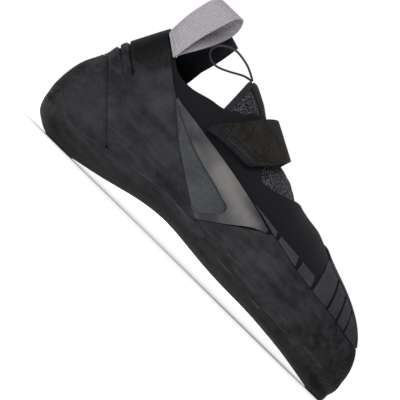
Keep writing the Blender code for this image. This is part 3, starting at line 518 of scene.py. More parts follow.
class Board:
    # one material's node tree
    def __init__(self, name, **constants):
        self.material = bpy.data.materials.new(name)
        self.material.use_nodes = True
        self.tree = self.material.node_tree
        self.shader = self.tree.nodes["Principled BSDF"]
        for key, value in constants.items():
            self.shader.inputs[key.replace("_", " ")].default_value = value

    def add(self, kind, settings=None, inputs=None, output=0):
        node = self.tree.nodes.new(kind)
        for key, value in (settings or {}).items():
            if key == "stops":
                for stop, (place, colour) in zip(node.color_ramp.elements, value):
                    stop.position = place
                    stop.color = colour
            else:
                setattr(node, key, value)
        for key, value in (inputs or {}).items():
            if isinstance(value, Wire):
                self.tree.links.new(value.socket, node.inputs[key])
            else:
                node.inputs[key].default_value = value
        return Wire(self, node.outputs[output])

    def feed(self, socket, value):
        if isinstance(value, Wire):
            self.tree.links.new(value.socket, self.shader.inputs[socket])
        else:
            self.shader.inputs[socket].default_value = value

    def place(self):
        return self.add("ShaderNodeTexCoord", output="Object")

    def cloth(self):
        return self.add("ShaderNodeUVMap", {"uv_map": "cloth"})

    def parts(self, vector):
        return [self.add("ShaderNodeSeparateXYZ", None, {0: vector}, i) for i in range(3)]

    def stretched(self, vector, scale, turn=0.0):
        return self.add("ShaderNodeMapping", None, {"Vector": vector, "Scale": scale, "Rotation": (0, 0, turn)})

    def turned(self, vector, scale):
        # lies along the sole's own slope, seen from the side
        return self.add("ShaderNodeMapping", None,
                        {"Vector": vector, "Scale": scale, "Rotation": (0, math.radians(-4), 0)})

    def noise(self, vector, scale, detail=3.0, roughness=0.5):
        return self.add("ShaderNodeTexNoise", None,
                        {"Vector": vector, "Scale": scale, "Detail": detail, "Roughness": roughness})

    def cloudy(self, vector, scale, low, high):
        return self.between(self.noise(vector, scale, 4.0, 0.58), low, high)

    def between(self, value, low, high):
        return self.add("ShaderNodeMapRange", {"interpolation_type": "SMOOTHSTEP"},
                        {"Value": value, "From Min": low, "From Max": high})

    def wave(self, value, length, sharp=1.0):
        # a smooth 0 to 1 ripple of that length in metres
        angle = value * (2 * math.pi / length)
        return self.add("ShaderNodeMath", {"operation": "SINE"}, {0: angle}) * (0.5 * sharp) + 0.5

    def blend(self, share, a, b):
        return self.add("ShaderNodeMix", {"data_type": "RGBA"}, {0: share, 6: a, 7: b}, 2)

    def least(self, a, b):
        return self.add("ShaderNodeMath", {"operation": "MINIMUM"}, {0: a, 1: b})

    def lines(self, routes, width):
        # 1 on lines drawn in the side view, in metres
        x, _, z = self.parts(self.place())
        total = None
        for route in routes:
            spots = toRow([(px, 0.0, pz) for px, pz in route])
            for a, b in zip(spots, spots[1:]):
                dx, dz = float(b[0] - a[0]), float(b[2] - a[2])
                size = dx * dx + dz * dz
                along = ((x - float(a[0])) * (dx / size) + (z - float(a[2])) * (dz / size))
                share = self.add("ShaderNodeClamp", None, {0: along})
                gapX = x - float(a[0]) - share * dx
                gapZ = z - float(a[2]) - share * dz
                gap = gapX * gapX + gapZ * gapZ
                total = gap if total is None else self.least(total, gap)
        distance = self.add("ShaderNodeMath", {"operation": "SQRT"}, {0: total})
        return 1.0 - self.between(distance, width * 0.25, width)

    def pool(self, x, z, px, pz, reachX, reachZ):
        # 1 in the middle of a soft patch of the side view, 0 at its reach
        spot = toRow((px, 0.0, pz))
        awayX = (x - float(spot[0])) * (1000.0 / reachX)
        awayZ = (z - float(spot[2])) * (1000.0 / reachZ)
        return 1.0 - self.between(awayX * awayX + awayZ * awayZ, 0.0, 1.0)

    def bump(self, height, distance, strength=1.0):
        self.feed("Normal", self.add("ShaderNodeBump", None,
                                     {"Height": height, "Distance": distance, "Strength": strength}))


def ink(r, g, b):
    # a picture colour, 0 to 255, as a shader colour
    return tuple(((v / 255 + 0.055) / 1.055) ** 2.4 if v > 10 else v / 255 / 12.92 for v in (r, g, b)) + (1.0,)


def rubberFinish(name, dark, pale, rough=0.6, brown=0.35, dustShadeRoute=(), streaks=0.2, specular=0.16, paintedLightPools=(),
                 lines=(), lineWidth=0.0007, lineTone=(14, 14, 16), marks=(), markWidth=0.0009,
                 markTone=(92, 92, 94),
                 markShare=0.3):
    # rubber: cloudy and streaked, with brown stains, dust and painted shade along its lower line, painted shade
    # and painted highlights in soft patches, cut lines darkened with painted shade, pale scuff marks and a painted
    # highlight on the sole's edge
    board = Board(name, Specular_IOR_Level=specular)
    place = board.place()
    x, y, z = board.parts(place)
    cloud = board.cloudy(place, 34.0, 0.28, 0.72)
    streak = board.cloudy(board.turned(place, (0.12, 1.0, 1.0)), 240.0, 0.38, 0.64)
    blotch = board.cloudy(place, 150.0, 0.3, 0.7)
    grain = board.cloudy(place, 520.0, 0.34, 0.66)
    pits = board.noise(place, 1500.0, 3.0, 0.6)
    tone = cloud * 0.3 + streak * streaks + blotch * 0.28 + grain * 0.14 + (0.14 - streaks / 2)
    # painted shade and painted highlights: soft patches of the side view made darker or lighter
    for px, pz, reachX, reachZ, amount in paintedLightPools:
        tone = tone + board.pool(x, z, px, pz, reachX, reachZ) * amount
    colour = board.blend(tone, ink(*dark), ink(*pale))
    if brown:
        patch = board.cloudy(place, 52.0, 0.46, 0.7)
        colour = board.blend(patch * 0.4 * brown, colour, ink(50, 46, 38))
        if dustShadeRoute:
            # dust and painted shade: darker and browner along the shoe's lower line
            dustShadeMask = board.lines((dustShadeRoute,), 0.012) * brown
            colour = board.blend(dustShadeMask * (0.35 + blotch * 0.65), colour, ink(33, 28, 26))
    rough = rough + (cloud - 0.5) * 0.1 + (grain - 0.5) * 0.2
    height = pits * 0.3 + grain * 0.35 + blotch * 0.3 + streak * 0.25
    if marks:
        # pale scuff marks, a painted highlight along the sole's top edge, and on the heel dark edge lines and
        # painted shade beside the groove
        scuffsAndPaintedLight = board.lines(marks, markWidth) * (0.2 + streak * 0.8)
        colour = board.blend(scuffsAndPaintedLight * markShare, colour, ink(*markTone))
        height = height + scuffsAndPaintedLight * 0.4
    if lines:
        # cut lines darkened with painted shade
        cutShade = board.lines(lines, lineWidth)
        colour = board.blend(cutShade * 0.9, colour, ink(*lineTone))
        height = height - cutShade * 2.2
    board.feed("Base Color", colour)
    board.feed("Roughness", rough)
    board.bump(height, 0.00017)
    return board.material


def stretchFinish(name="stretchFabric"):
    board = Board(name, Specular_IOR_Level=0.12, Sheen_Weight=0.04, Sheen_Roughness=0.5)
    _, y, _ = board.parts(board.place())
    u, v, _ = board.parts(board.cloth())
    weave = board.wave(u + v * 0.5, 0.00055) * board.wave(v - u * 0.5, 0.0007)
    slub = board.noise(board.place(), 240.0, 4.0, 0.6)
    soft = board.noise(board.place(), 40.0, 3.0)
    colour = board.blend(weave * 0.5 + slub * 0.5, ink(16, 16, 20), ink(33, 32, 38))
    colour = board.blend(soft * 0.3, colour, ink(24, 23, 28))
    # painted shadow under the strap's edge, on the outer side only
    strapShadow = board.lines((((90.0, 69.2), (100.0, 68.8), (110.0, 69.2), (121.0, 70.0), (126.0, 73.6),
        (134.0, 83.0)),),
                          0.0022) * (1.0 - board.between(y, -0.016, -0.01))
    board.feed("Base Color", board.blend(strapShadow * 0.6, colour, ink(9, 9, 12)))
    board.feed("Roughness", 0.86 + (slub - 0.5) * 0.12)
    board.bump(weave * 0.5 + slub * 0.3, 0.00016)
    return board.material


def knitFinish(name="fleckedKnit"):
    board = Board(name, Specular_IOR_Level=0.15, Sheen_Weight=0.05, Sheen_Roughness=0.5)
    cloth = board.stretched(board.cloth(), (1450.0, 1150.0, 1.0), 0.5)
    cells = board.add("ShaderNodeTexVoronoi", {"voronoi_dimensions": "2D"}, {"Vector": cloth, "Scale": 1.0},
        "Color")
    loopGap = board.add("ShaderNodeTexVoronoi", {"voronoi_dimensions": "2D"}, {"Vector": cloth, "Scale": 1.0},
        "Distance")
    pick = board.parts(cells)[0]
    fleck = board.between(pick, 0.5, 0.62) * (1.0 - board.between(loopGap, 0.4, 0.7))
    base = board.blend(board.noise(board.place(), 500.0, 3.0), ink(16, 16, 20), ink(32, 31, 37))
    board.feed("Base Color", board.blend(fleck, base, ink(92, 90, 98)))
    board.feed("Roughness", 0.9)
    board.bump((1.0 - loopGap) * 0.8, 0.0005)
    return board.material


def suedeFinish(name="strapSuede"):
    board = Board(name, Specular_IOR_Level=0.14, Sheen_Weight=0.05, Sheen_Roughness=0.5)
    place = board.place()
    nap = board.cloudy(place, 900.0, 0.34, 0.66)
    patch = board.cloudy(place, 110.0, 0.36, 0.64)
    _, y, z = board.parts(place)
    outerSide = 1.0 - board.between(y, -0.018, -0.012)
    tab = (1.0 - board.between(z, 0.0753, 0.0761)) * outerSide
    colour = board.blend(patch * 0.55 + nap * 0.45, ink(16, 14, 13), ink(46, 42, 38))
    colour = board.blend(tab, colour, board.blend(patch, ink(9, 11, 15), ink(19, 22, 28)))
    seam = board.lines((((101.0, 75.7), (123.2, 76.1)),), 0.0007) * outerSide
    hem = board.lines((((103.0, 78.3), (124.2, 78.6)), ((123.6, 78.0), (131.4, 84.8)),
        ((97.0, 83.8), (100.0, 79.6))),
                      0.0007) * outerSide
    colour = board.blend(seam * 0.45, colour, ink(62, 61, 62))
    colour = board.blend(hem * 0.6, colour, ink(12, 11, 11))
    board.feed("Base Color", colour)
    board.feed("Roughness", 0.95 - tab * 0.35)
    board.bump(nap * (1.0 - tab * 0.85) + patch * 0.4 - hem * 0.9 + seam * 0.5, 0.0004)
    return board.material


def webbingFinish(name, dark, pale, rib=0.00105, along=0.0016):
    board = Board(name, Specular_IOR_Level=0.2, Sheen_Weight=0.05, Sheen_Roughness=0.5)
    u, v, _ = board.parts(board.cloth())
    ribs = board.wave(u, rib)
    strands = board.wave(v + board.wave(u, rib * 2) * (along * 0.25), along)
    fuzz = board.noise(board.place(), 1100.0, 4.0, 0.6)
    wash = board.noise(board.place(), 70.0, 2.0)
    colour = board.blend(ribs * 0.45 + strands * 0.25 + fuzz * 0.3, ink(*dark), ink(*pale))
    board.feed("Base Color", board.blend(wash * 0.25, colour, ink(*dark)))
    board.feed("Roughness", 0.82 + (fuzz - 0.5) * 0.2)
    board.bump(ribs * 0.7 + strands * 0.5 + fuzz * 0.4, 0.00022)
    return board.material


def smoothRubberFinish(name="smoothRubber"):
    # glossy rubber with a painted highlight along the swell and painted shade in the hollow over it, towards the
    # ankle and by the slit
    board = Board(name, Specular_IOR_Level=0.5)
    place = board.place()
    x, _, z = board.parts(place)
    cloud = board.cloudy(place, 60.0, 0.36, 0.64)
    grain = board.cloudy(place, 420.0, 0.34, 0.66)
    tone = 0.2 + cloud * 0.12 + grain * 0.08
    # painted highlight: a soft light band along the swell
    tone = tone + board.lines((((114.0, 57.6), (122.0, 55.4), (130.0, 52.4), (139.0, 48.8), (146.0, 46.6)),),
        0.0105) * 0.46
    # painted shade in the hollow, towards the ankle and near the slit, and a little painted light over the swell
    for px, pz, reachX, reachZ, amount in ((116.0, 57.0, 34.0, 12.0, 0.16), (74.0, 67.0, 30.0, 13.0, -0.5),
        (146.0, 57.0, 18.0, 5.5, -0.45),
                                           (158.0, 52.5, 8.0, 4.0, -0.3), (126.0, 33.0, 9.0, 8.0, -0.3)):
        tone = tone + board.pool(x, z, px, pz, reachX, reachZ) * amount
    board.feed("Base Color", board.blend(tone, ink(32, 32, 38), ink(106, 103, 101)))
    board.feed("Roughness", 0.52 + (cloud - 0.5) * 0.06 + (grain - 0.5) * 0.05)
    board.bump(grain, 0.00005)
    return board.material


def hatchFinish(name="crossedPanel"):
    board = Board(name, Specular_IOR_Level=0.35)
    place = board.place()
    x, _, z = board.parts(place)
    soft = board.cloudy(place, 60.0, 0.36, 0.64)
    grain = board.cloudy(place, 500.0, 0.34, 0.66)
    deep = board.cloudy(place, 80.0, 0.44, 0.6)
    one = board.wave(x * 0.64 + z * 0.77, 0.0013)
    two = board.wave(x * 0.64 - z * 0.77, 0.0013)
    hatch = (board.between(one, 0.5, 0.95) + board.between(two, 0.5, 0.95)) * (0.35 + deep * 0.65)
    outline = board.lines((tuple((x, z - 0.3) for x, z in panelTop[:7]) + ((127.2, 46.0), (130.0, 44.2),
        (131.0, 42.0)),),
                          0.0009)
    tone = soft * 0.24 + grain * 0.2 + hatch * 0.4 + board.pool(x, z, 112.0, 38.0, 18.0, 10.0) * 0.2
    colour = board.blend(tone, ink(44, 46, 51), ink(80, 84, 90))
    board.feed("Base Color", board.blend(outline * 0.75, colour, ink(24, 24, 26)))
    board.feed("Roughness", 0.5 + hatch * 0.1)
    board.bump(hatch + grain * 0.3 - outline * 1.5, 0.0003)
    return board.material


def padFinish(name="toePadRubber"):
    board = Board(name, Specular_IOR_Level=0.28)
    cloud = board.cloudy(board.place(), 55.0, 0.36, 0.64)
    fine = board.cloudy(board.place(), 700.0, 0.34, 0.66)
    board.feed("Base Color", board.blend(cloud * 0.6 + fine * 0.4, ink(44, 45, 50), ink(60, 61, 67)))
    board.feed("Roughness", 0.62 + (cloud - 0.5) * 0.12)
    board.bump(fine, 0.00016)
    return board.material


def threadFinish(name="thread", tone=(26, 26, 29)):
    board = Board(name, Specular_IOR_Level=0.4)
    twist = board.noise(board.place(), 1800.0, 2.0)
    board.feed("Base Color", board.blend(twist, ink(*tone), ink(*(min(255, v + 22) for v in tone))))
    board.feed("Roughness", 0.7)
    board.bump(twist, 0.0002)
    return board.material


# dark lines in the heel's slots: painted shade
heelCutShade = (((19.0, 73.9), (26.0, 68.4), (33.0, 62.8)), ((15.6, 69.0), (17.4, 67.6)),
    ((15.5, 75.6), (19.0, 73.9)))
# fainter dark lines: painted shade along slot one, and the wing's lower edge
heelFaint = (((17.4, 67.6), (24.0, 62.4), (30.0, 57.6)),
             ((61.6, 70.2), (66.0, 65.8), (72.0, 60.4), (80.0, 53.8), (88.0, 47.6), (98.0, 40.6)))
grooveShade = tuple((x - 0.4, z - 0.4) for x, z in heelGroove[1:-1])
# painted highlight along the sole's top edge
soleEdgeHighlight = ((17.6, 21.0), (19.4, 18.2), (22.0, 16.4), (26.0, 15.4), *slingEdge[3:10], (116.0, 24.2), (121.0, 24.6),
            (127.0, 26.2), (135.0, 27.2), (144.0, 27.6))
# dust and painted shade along the shoe's lower line
dustShadeLine = ((20.0, 1.0), (40.0, 0.5), (60.0, 4.0), (80.0, 9.0), (100.0, 12.0), (120.0, 12.0), (140.0, 10.0),
            (180.0, 9.0), (210.0, 6.0), (235.0, 2.0), (252.0, 2.0))
# painted shade (negative amounts) and painted highlights (positive amounts) as soft patches: x, z, reach x, reach
# z, amount
backPaintedLight = ((30.0, 87.0, 22.0, 20.0, -1.0), (27.0, 61.0, 15.0, 15.0, -0.22), (3.0, 38.0, 9.0, 32.0, -0.4),
             (27.0, 32.0, 24.0, 17.0, 0.24), (50.0, 78.0, 9.0, 8.0, 0.2), (60.0, 62.0, 14.0, 14.0, 0.12),
             (46.0, 46.0, 10.0, 12.0, 0.1), (86.0, 44.0, 16.0, 7.0, 0.08), (100.0, 33.0, 20.0, 6.0, -0.08))
frontPaintedLight = ((166.0, 47.0, 13.0, 5.0, -0.25), (150.0, 36.0, 20.0, 9.0, 0.1), (200.0, 37.0, 40.0, 7.0, 0.12),
              (222.0, 24.0, 26.0, 9.0, -0.12), (185.0, 22.0, 34.0, 6.0, 0.12), (258.0, 18.0, 20.0, 34.0, -0.6),
              (238.0, 8.0, 20.0, 9.0, -0.25))
solePaintedLight = ((22.0, 2.0, 30.0, 13.0, -0.3), (2.0, 20.0, 9.0, 20.0, -0.45), (30.0, 13.0, 18.0, 6.0, 0.12),
             (100.0, 14.0, 60.0, 6.0, -0.2), (257.0, 8.0, 22.0, 20.0, -0.5))
shoePaintedLight = backPaintedLight + frontPaintedLight + solePaintedLight
# pale scuff marks on the toe rubber; the last one runs along the sole's top edge as a painted highlight
toeMarks = (((150.0, 25.6), (160.0, 26.2), (170.0, 25.8), (180.0, 24.0)),
    ((148.0, 19.4), (158.0, 18.4), (168.0, 17.2)),
            ((158.0, 22.4), (176.0, 20.6)), ((172.0, 16.6), (186.0, 15.4)), ((188.0, 17.6), (206.0, 15.8)),
            ((196.0, 21.6), (204.0, 21.0)), ((212.0, 14.6), (226.0, 13.2)), ((222.0, 18.0), (238.0, 16.2)),
            ((124.0, 26.0), (135.0, 27.2), (147.0, 27.8)))
finishes = {
    "heel": rubberFinish("heelRubber", (8, 8, 11), (58, 58, 64), brown=0.1, paintedLightPools=shoePaintedLight, lines=heelCutShade,
                         lineWidth=0.0008, marks=(*heelFaint, grooveShade), markTone=(16, 16, 18), markShare=0.6,
                         markWidth=0.0009),
    "heelBall": rubberFinish("heelBallRubber", (8, 8, 11), (55, 55, 60), brown=0.3, dustShadeRoute=dustShadeLine,
    paintedLightPools=shoePaintedLight,
                             marks=(grooveShade,), markTone=(14, 14, 16), markShare=0.6, markWidth=0.0032),
    "sole": rubberFinish("soleRubber", (8, 8, 10), (55, 54, 58), brown=0.5, dustShadeRoute=dustShadeLine, streaks=0.3,
                         paintedLightPools=shoePaintedLight, marks=(soleEdgeHighlight, *toeMarks), markWidth=0.0009, markShare=0.34),
    "front": rubberFinish("frontRubber", (8, 8, 10), (57, 56, 61), brown=0.5, dustShadeRoute=dustShadeLine, streaks=0.3,
                          paintedLightPools=shoePaintedLight, marks=(soleEdgeHighlight, *toeMarks), markWidth=0.0009, markShare=0.26),
    "patch": rubberFinish("patchRubber", (26, 26, 30), (54, 54, 58), rough=0.62, brown=0.0, specular=0.2),
    "smooth": smoothRubberFinish(),
    "panel": hatchFinish(),
    "pad": padFinish(),
    "stretch": stretchFinish(),
    "knit": knitFinish(),
    "suede": suedeFinish(),
    "greyWeb": webbingFinish("greyWebbing", (140, 134, 141), (186, 180, 187)),
    "blackWeb": webbingFinish("blackWebbing", (8, 8, 10), (44, 43, 50)),
    "binding": webbingFinish("bindingTape", (20, 20, 24), (52, 50, 56), rib=0.0012, along=0.0011),
    "cord": webbingFinish("cordFinish", (34, 33, 36), (70, 68, 72), rib=0.0012, along=0.0009),
    "thread": threadFinish("brownThread", (40, 38, 38)),
    "paleThread": threadFinish("paleThread", (188, 184, 190)),
}
for nodeName, key in (("insole", "stretch"),):
    holder = frame["nodes"][nodeName]
    for slotIndex in range(len(holder.material_slots)):
        holder.material_slots[slotIndex].material = finishes[key]
tongueCord.data.materials.clear()
tongueCord.data.materials.append(threadFinish("cordThread", (38, 37, 40)))
print("finishes made")

# ---- upper
upperShape = {"wall": 1.8, "across": 46, "spacing": 1.7, "collarBack": 35.4, "slotEnd": 161.0,
              "openFrom": 18.0, "openTo": 238.0, "openShare": 0.8}


def lowerFeather(phis, side):
    x = last.xAt(phis)
    middle = (upperShape["openFrom"] + upperShape["openTo"]) / 2
    run = np.abs(x - middle) / ((upperShape["openTo"] - upperShape["openFrom"]) / 2)
    share = upperShape["openShare"] * np.sqrt(np.clip(1 - run ** 5, 0, 1))
    t = -np.degrees(np.arccos(share ** (last.cut(phis)["roundLow"] / 2)))
    return t if side < 0 else 180 - t


def openingEdge(phis, side):
    # down the collar, then along the tongue's slot
    x = last.xAt(phis)
    back = upperShape["collarBack"]
    end = upperShape["slotEnd"]
    collar = last.angleAt(phis, edgeLine(collarEdge), side, 0.0)
    start = collarEdge[0][0]
    atStart = last.angleAt(last.phiAt(start), edgeLine(collarEdge), side, 0.0)[0]
    share = np.clip((x - back) / (start - back), 0, 1)
    result = np.where(x < start, 90 + (atStart - 90) * np.sqrt(share), collar)
    half = smoothLine([row[0] for row in slotWidths], [row[1 if side < 0 else 2] for row in slotWidths])
    lastSlot = slotWidths[-1][0]
    width = half(np.minimum(x, lastSlot)) * np.sqrt(np.clip((end - x) / (end - lastSlot), 0, 1))
    cut = last.cut(phis)
    reach = cut["crest"] - cut["outer"] if side < 0 else cut["inner"] - cut["crest"]
    t = np.degrees(np.arccos(np.clip(width / np.maximum(reach, 1e-6), 0, 1) ** (cut["roundTop"] / 2)))
    t = t if side < 0 else 180 - t
    result = np.where(x > slotWidths[0][0], t, result)
    return np.where((x <= back) | (x >= end), 90.0, result)


def upperRelief(points):
    # soft pulls in the stretch fabric over the ball and round the ankle
    x, y, z = points[..., 0], points[..., 1], points[..., 2]
    folds = np.zeros(x.shape)
    for a, b, width, height in (((86, 84), (98, 72), 2.6, 0.45), ((78, 84), (86, 72), 2.4, 0.3),
                                ((138, 70), (152, 60), 2.6, 0.35), ((166, 73), (172, 60), 3.4, 0.35),
                                ((180, 71), (184, 60), 3.0, 0.3), ((64, 79), (72, 72), 2.2, 0.3)):
        folds += nearSegment(points, a, b, width) * height
    return folds * (np.abs(y - 4) > 6)


upperPlanes = rowsBetween(0.0, math.pi, upperShape["spacing"], [float(last.phiAt(v)) for v in (
    18.0, 18.6, 35.4, 35.6, 36.0, 36.8, 38.0, 99.0, 160.0, 160.4, 160.8, 161.0, 237.4, 238.0)])
bandPiece("upperFabric", upperPlanes, lowerFeather, openingEdge, upperShape["across"], layers["upper"],
          upperShape["wall"] - 0.1, finishes["stretch"], ("upper",), relief=upperRelief, rounding=0.45)
print("upper made")

# ---- tongue
tongueShape = {"back": 87.5, "front": 168.0, "lap": 13.0, "wall": 1.8, "bindingWidth": 3.2, "windowRise": 1.4}


def tongueRim(phis, side):
    edge = openingEdge(phis, side)
    spare = tongueShape["lap"] * np.clip((tongueShape["front"] + 2 - last.xAt(phis)) / 10, 0.25, 1.0)
    if side < 0:
        return np.maximum(np.minimum(edge, 74.0) - spare, 20.0)
    return np.minimum(np.maximum(edge, 106.0) + spare, 160.0)


def tongueRelief(points):
    x, y = points[..., 0], points[..., 1]
    window = np.exp(-((x - 147) / 8.5) ** 2) * np.exp(-((y - 7) / 9.0) ** 2)
    ripple = np.sin(x * 0.9 + y * 0.2) * 0.12
    return window * tongueShape["windowRise"] + ripple * np.exp(-((y - 4) / 16.0) ** 2)


bandPiece("tongueKnit", rowsBetween(last.phiAt(tongueShape["back"]), last.phiAt(tongueShape["front"]), 1.1),
          tongueRim, crest, 34, layers["tongue"], tongueShape["wall"], finishes["knit"], ("tongue",),
          relief=tongueRelief)
bandPiece("tongueBinding", rowsBetween(last.phiAt(tongueShape["back"] - 0.5),
                                       last.phiAt(tongueShape["back"] + tongueShape["bindingWidth"]), 0.6),
          tongueRim, crest, 40, layers["tongue"] + 0.45, 2.7, finishes["binding"],
          rounding=0.9)
tapePlanes = rowsBetween(last.phiAt(88.2), last.phiAt(109.5), 0.8)[:, None]
tapeAngles = np.linspace(76.5, 99.5, 15)[None, :] + tapePlanes * 0
tapeLift = layers["tongue"] + 0.9 + 1.9 * np.sqrt(1 - ((tapeAngles - 88.0) / 11.55) ** 2)
tapeRun = last.xAt(tapePlanes)
tapeLift = tapeLift - 1.5 * np.clip((91.5 - tapeRun) / 3.3, 0, 1) ** 2 - 1.1 * np.clip((tapeRun - 102.0) / 7.5, 0,
    1)
tapePoints = last.skin(tapePlanes, tapeAngles, tapeLift[..., None])
sheetPiece("tongueTape", [(tapePoints, clothMap(tapePoints), last.normals(
    tapePlanes, last.spots(tapePlanes, tapeAngles)))], 1.2, finishes["binding"], ("tongue_band",), rounding=0.3)
print("tongue made")

# ---- soles
soleShape = {"heelStart": 40.0, "toeStart": 225.0, "split": 122.5, "halfGap": 0.01, "flatReach": 0.6,
             "blend": 0.25, "wall": 1.15, "across": 90, "feather": 6.0, "proud": 0.12}


def laidOn(points, outward, heelEnd, carriers):
    # the band next to the top edge runs out onto the rubber that it is glued to
    rim = np.concatenate([points[:, 0], points[:, -1], points[0 if heelEnd else -1]])
    for i in range(len(points)):
        run = np.min(np.linalg.norm(points[i][:, None] - rim[None], axis=2), axis=1)
        for j in np.nonzero(run < soleShape["feather"])[0]:
            share = run[j] / soleShape["feather"]
            share = share * share * (3 - 2 * share)
            spot = Vector(toRow(points[i, j]))
            nearest = None
            for carrier in carriers:
                found, place, _, _ = carrier.closest_point_on_mesh(spot)
                if found and (nearest is None or (place - spot).length < (nearest - spot).length):
                    nearest = place
            if nearest and (nearest - spot).length < 0.005:
                target = nearest + Vector(outward[i, j]) * soleShape["proud"] * 0.001
                laid = np.array(target) * 1000 + np.array([originX, 0.0, 0.0])
                points[i, j] = points[i, j] * share + laid * (1 - share)
    return points


def solePiece(name, points, heelEnd, node, carriers):
    edge = edgeLine(points)
    tip = 0.02 if heelEnd else math.pi - 0.02
    flat = last.phiAt(soleShape["heelStart"] if heelEnd else soleShape["toeStart"])
    seat = layers["seat"] + 0.25
    endIn = last.crossing(edge, -90.0, seat, tip, flat)
    endOut = soleForm.crossing(edge, -90.0, 0.0, tip, flat)
    if heelEnd:
        phis = rowsBetween(endIn, last.phiAt(soleShape["split"] - soleShape["halfGap"]), 1.3)
    else:
        phis = rowsBetween(last.phiAt(soleShape["split"] + soleShape["halfGap"]), endIn, 1.3)
    outer = phis + (endOut - endIn) * np.exp(-np.abs(phis - endIn) / soleShape["blend"])
    near = soleForm.angleAt(outer, edge, -1, 0.0)
    far = soleForm.angleAt(outer, edge, 1, 0.0) - 360.0
    near[phis == endIn] = -90.0
    far[phis == endIn] = -90.0
    t = evenAngles(soleForm, outer, near, far, soleShape["across"])
    skin = soleForm.skin(outer[:, None], t, 0.0)
    skin[..., 2] = np.where(skin[..., 2] < soleShape["flatReach"], 0.0, skin[..., 2])
    outward = soleForm.normals(outer[:, None], soleForm.spots(outer[:, None], t))
    skin = laidOn(skin, outward, heelEnd, carriers)
    return sheetPiece(name, [(skin, clothMap(skin), outward)], soleShape["wall"], finishes["sole"], (node,),
        rounding=0.06)


# ---- heel
heelShape = {"under": 1.4, "halfGap": 0.22, "wingGap": 0.06, "wall": 1.25, "across": 112, "spacing": 0.85,
             "hollow": 0.45, "hollowWidth": 2.0}


def heelRelief(points):
    # two ribs and two slots across the back of the heel, which fade towards its sides
    x, z = points[..., 0], points[..., 2]
    height = z + 0.79 * (x - 17)

    def ramp(value, low, high):
        share = np.clip((value - low) / (high - low), 0, 1)
        return share * share * (3 - 2 * share)

    rib = ramp(height, 57.5, 66.0) * (1 - ramp(height, 66.6, 67.2)) * 1.0
    rib = rib + ramp(height, 68.6, 69.2) * (1 - ramp(height, 74.2, 74.8)) * 1.25
    rib = rib + ramp(height, 76.2, 76.8) * (1 - ramp(height, 77.0, 88.0)) * 0.75
    fade = np.exp(-(np.clip(x - 12, 0, None) / 8.0) ** 2)
    slotOne = np.exp(-((height - 67.9) / 0.75) ** 2) * (1.2 * fade + 0.45 * (1 - ramp(x, 27, 31)))
    slotTwo = np.exp(-((height - 75.5) / 0.85) ** 2) * (0.9 * fade + 0.95 * (1 - ramp(x, 31, 34.5)))
    swell = 0.6 * np.exp(-((x - 78) / 24.0) ** 2 - ((z - 42) / 14.0) ** 2)
    return rib * fade - slotOne - slotTwo + swell + grooveRelief(points)


def grooveRelief(points):
    # the long groove lies in a shallow hollow that runs out at both ends
    hollow = np.zeros(points.shape[:-1])
    for a, b in zip(heelGroove[1:-1], heelGroove[2:]):
        hollow = np.maximum(hollow, nearSegment(points, a, b, heelShape["hollowWidth"]))
    return -hollow * heelShape["hollow"]


def makeHeel():
    rubber = layers["rubber"]
    sling = onEdge(slingEdge, rubber, -heelShape["under"])
    belowGroove = onEdge(heelGroove, rubber, -heelShape["halfGap"])
    aboveGroove = onEdge(heelGroove, rubber, heelShape["halfGap"])
    cuff = onEdge(cuffEdge, rubber)
    wing = onEdge(wingEdge, rubber, -heelShape["wingGap"])
    phiFront = float(last.phiAt(heelGroove[-1][0] - 0.5))
    phiWing = float(last.phiAt(wingEdge[0][0]))
    start, end = float(last.phiAt(7.0)), float(last.phiAt(25.0))
    ballTop = last.crossing(edgeLine(heelGroove, -heelShape["halfGap"]), 90.0, rubber, start, end)
    cupBack = last.crossing(edgeLine(heelGroove, heelShape["halfGap"]), 90.0, rubber, start, end)
    cuffBack = last.crossing(edgeLine(cuffEdge), 90.0, rubber, float(last.phiAt(25.0)), float(last.phiAt(45.0)))
    bandPiece("heelBallRubber", rowsBetween(0.0, phiFront, 1.1, (ballTop, ballTop + 0.004, ballTop + 0.012)),
        sling,
              belowGroove, 56, rubber + 0.3, heelShape["wall"] + 0.3, finishes["heelBall"], ("heel_ball",),
              relief=grooveRelief)

    def low(phis, side):
        a, b = aboveGroove(phis, side), sling(phis, side)
        return np.maximum(a, b) if side < 0 else np.minimum(a, b)

    def high(phis, side):
        return np.where(phis < phiWing, cuff(phis, side), wing(phis, side))

    planes = rowsBetween(cupBack, float(last.phiAt(121.2)), heelShape["spacing"],
                         (cuffBack, cuffBack + 0.003, cuffBack + 0.01, cuffBack + 0.02, phiFront, phiWing))
    bandPiece("heelCupRubber", planes, low, high, heelShape["across"], rubber, heelShape["wall"], finishes["heel"],
              ("heel_rand",), relief=heelRelief)


makeHeel()
print("heel made")

# ---- sides
sideShape = {"swell": 2.1, "swellWidth": 8.5, "valley": 0.6, "panelWall": 0.45, "panelProud": 0.22,
             "ridge": ((86, 63.5), (104, 60.5), (118, 56), (132, 50.5), (147, 46))}


def sideRelief(points):
    ridge = np.zeros(points.shape[:-1])
    for a, b in zip(sideShape["ridge"], sideShape["ridge"][1:]):
        ridge = np.maximum(ridge, nearSegment(points, a, b, sideShape["swellWidth"]))
    return ridge * sideShape["swell"] - nearSegment(points, (130, 58), (157, 53.5), 3.0) * sideShape["valley"]


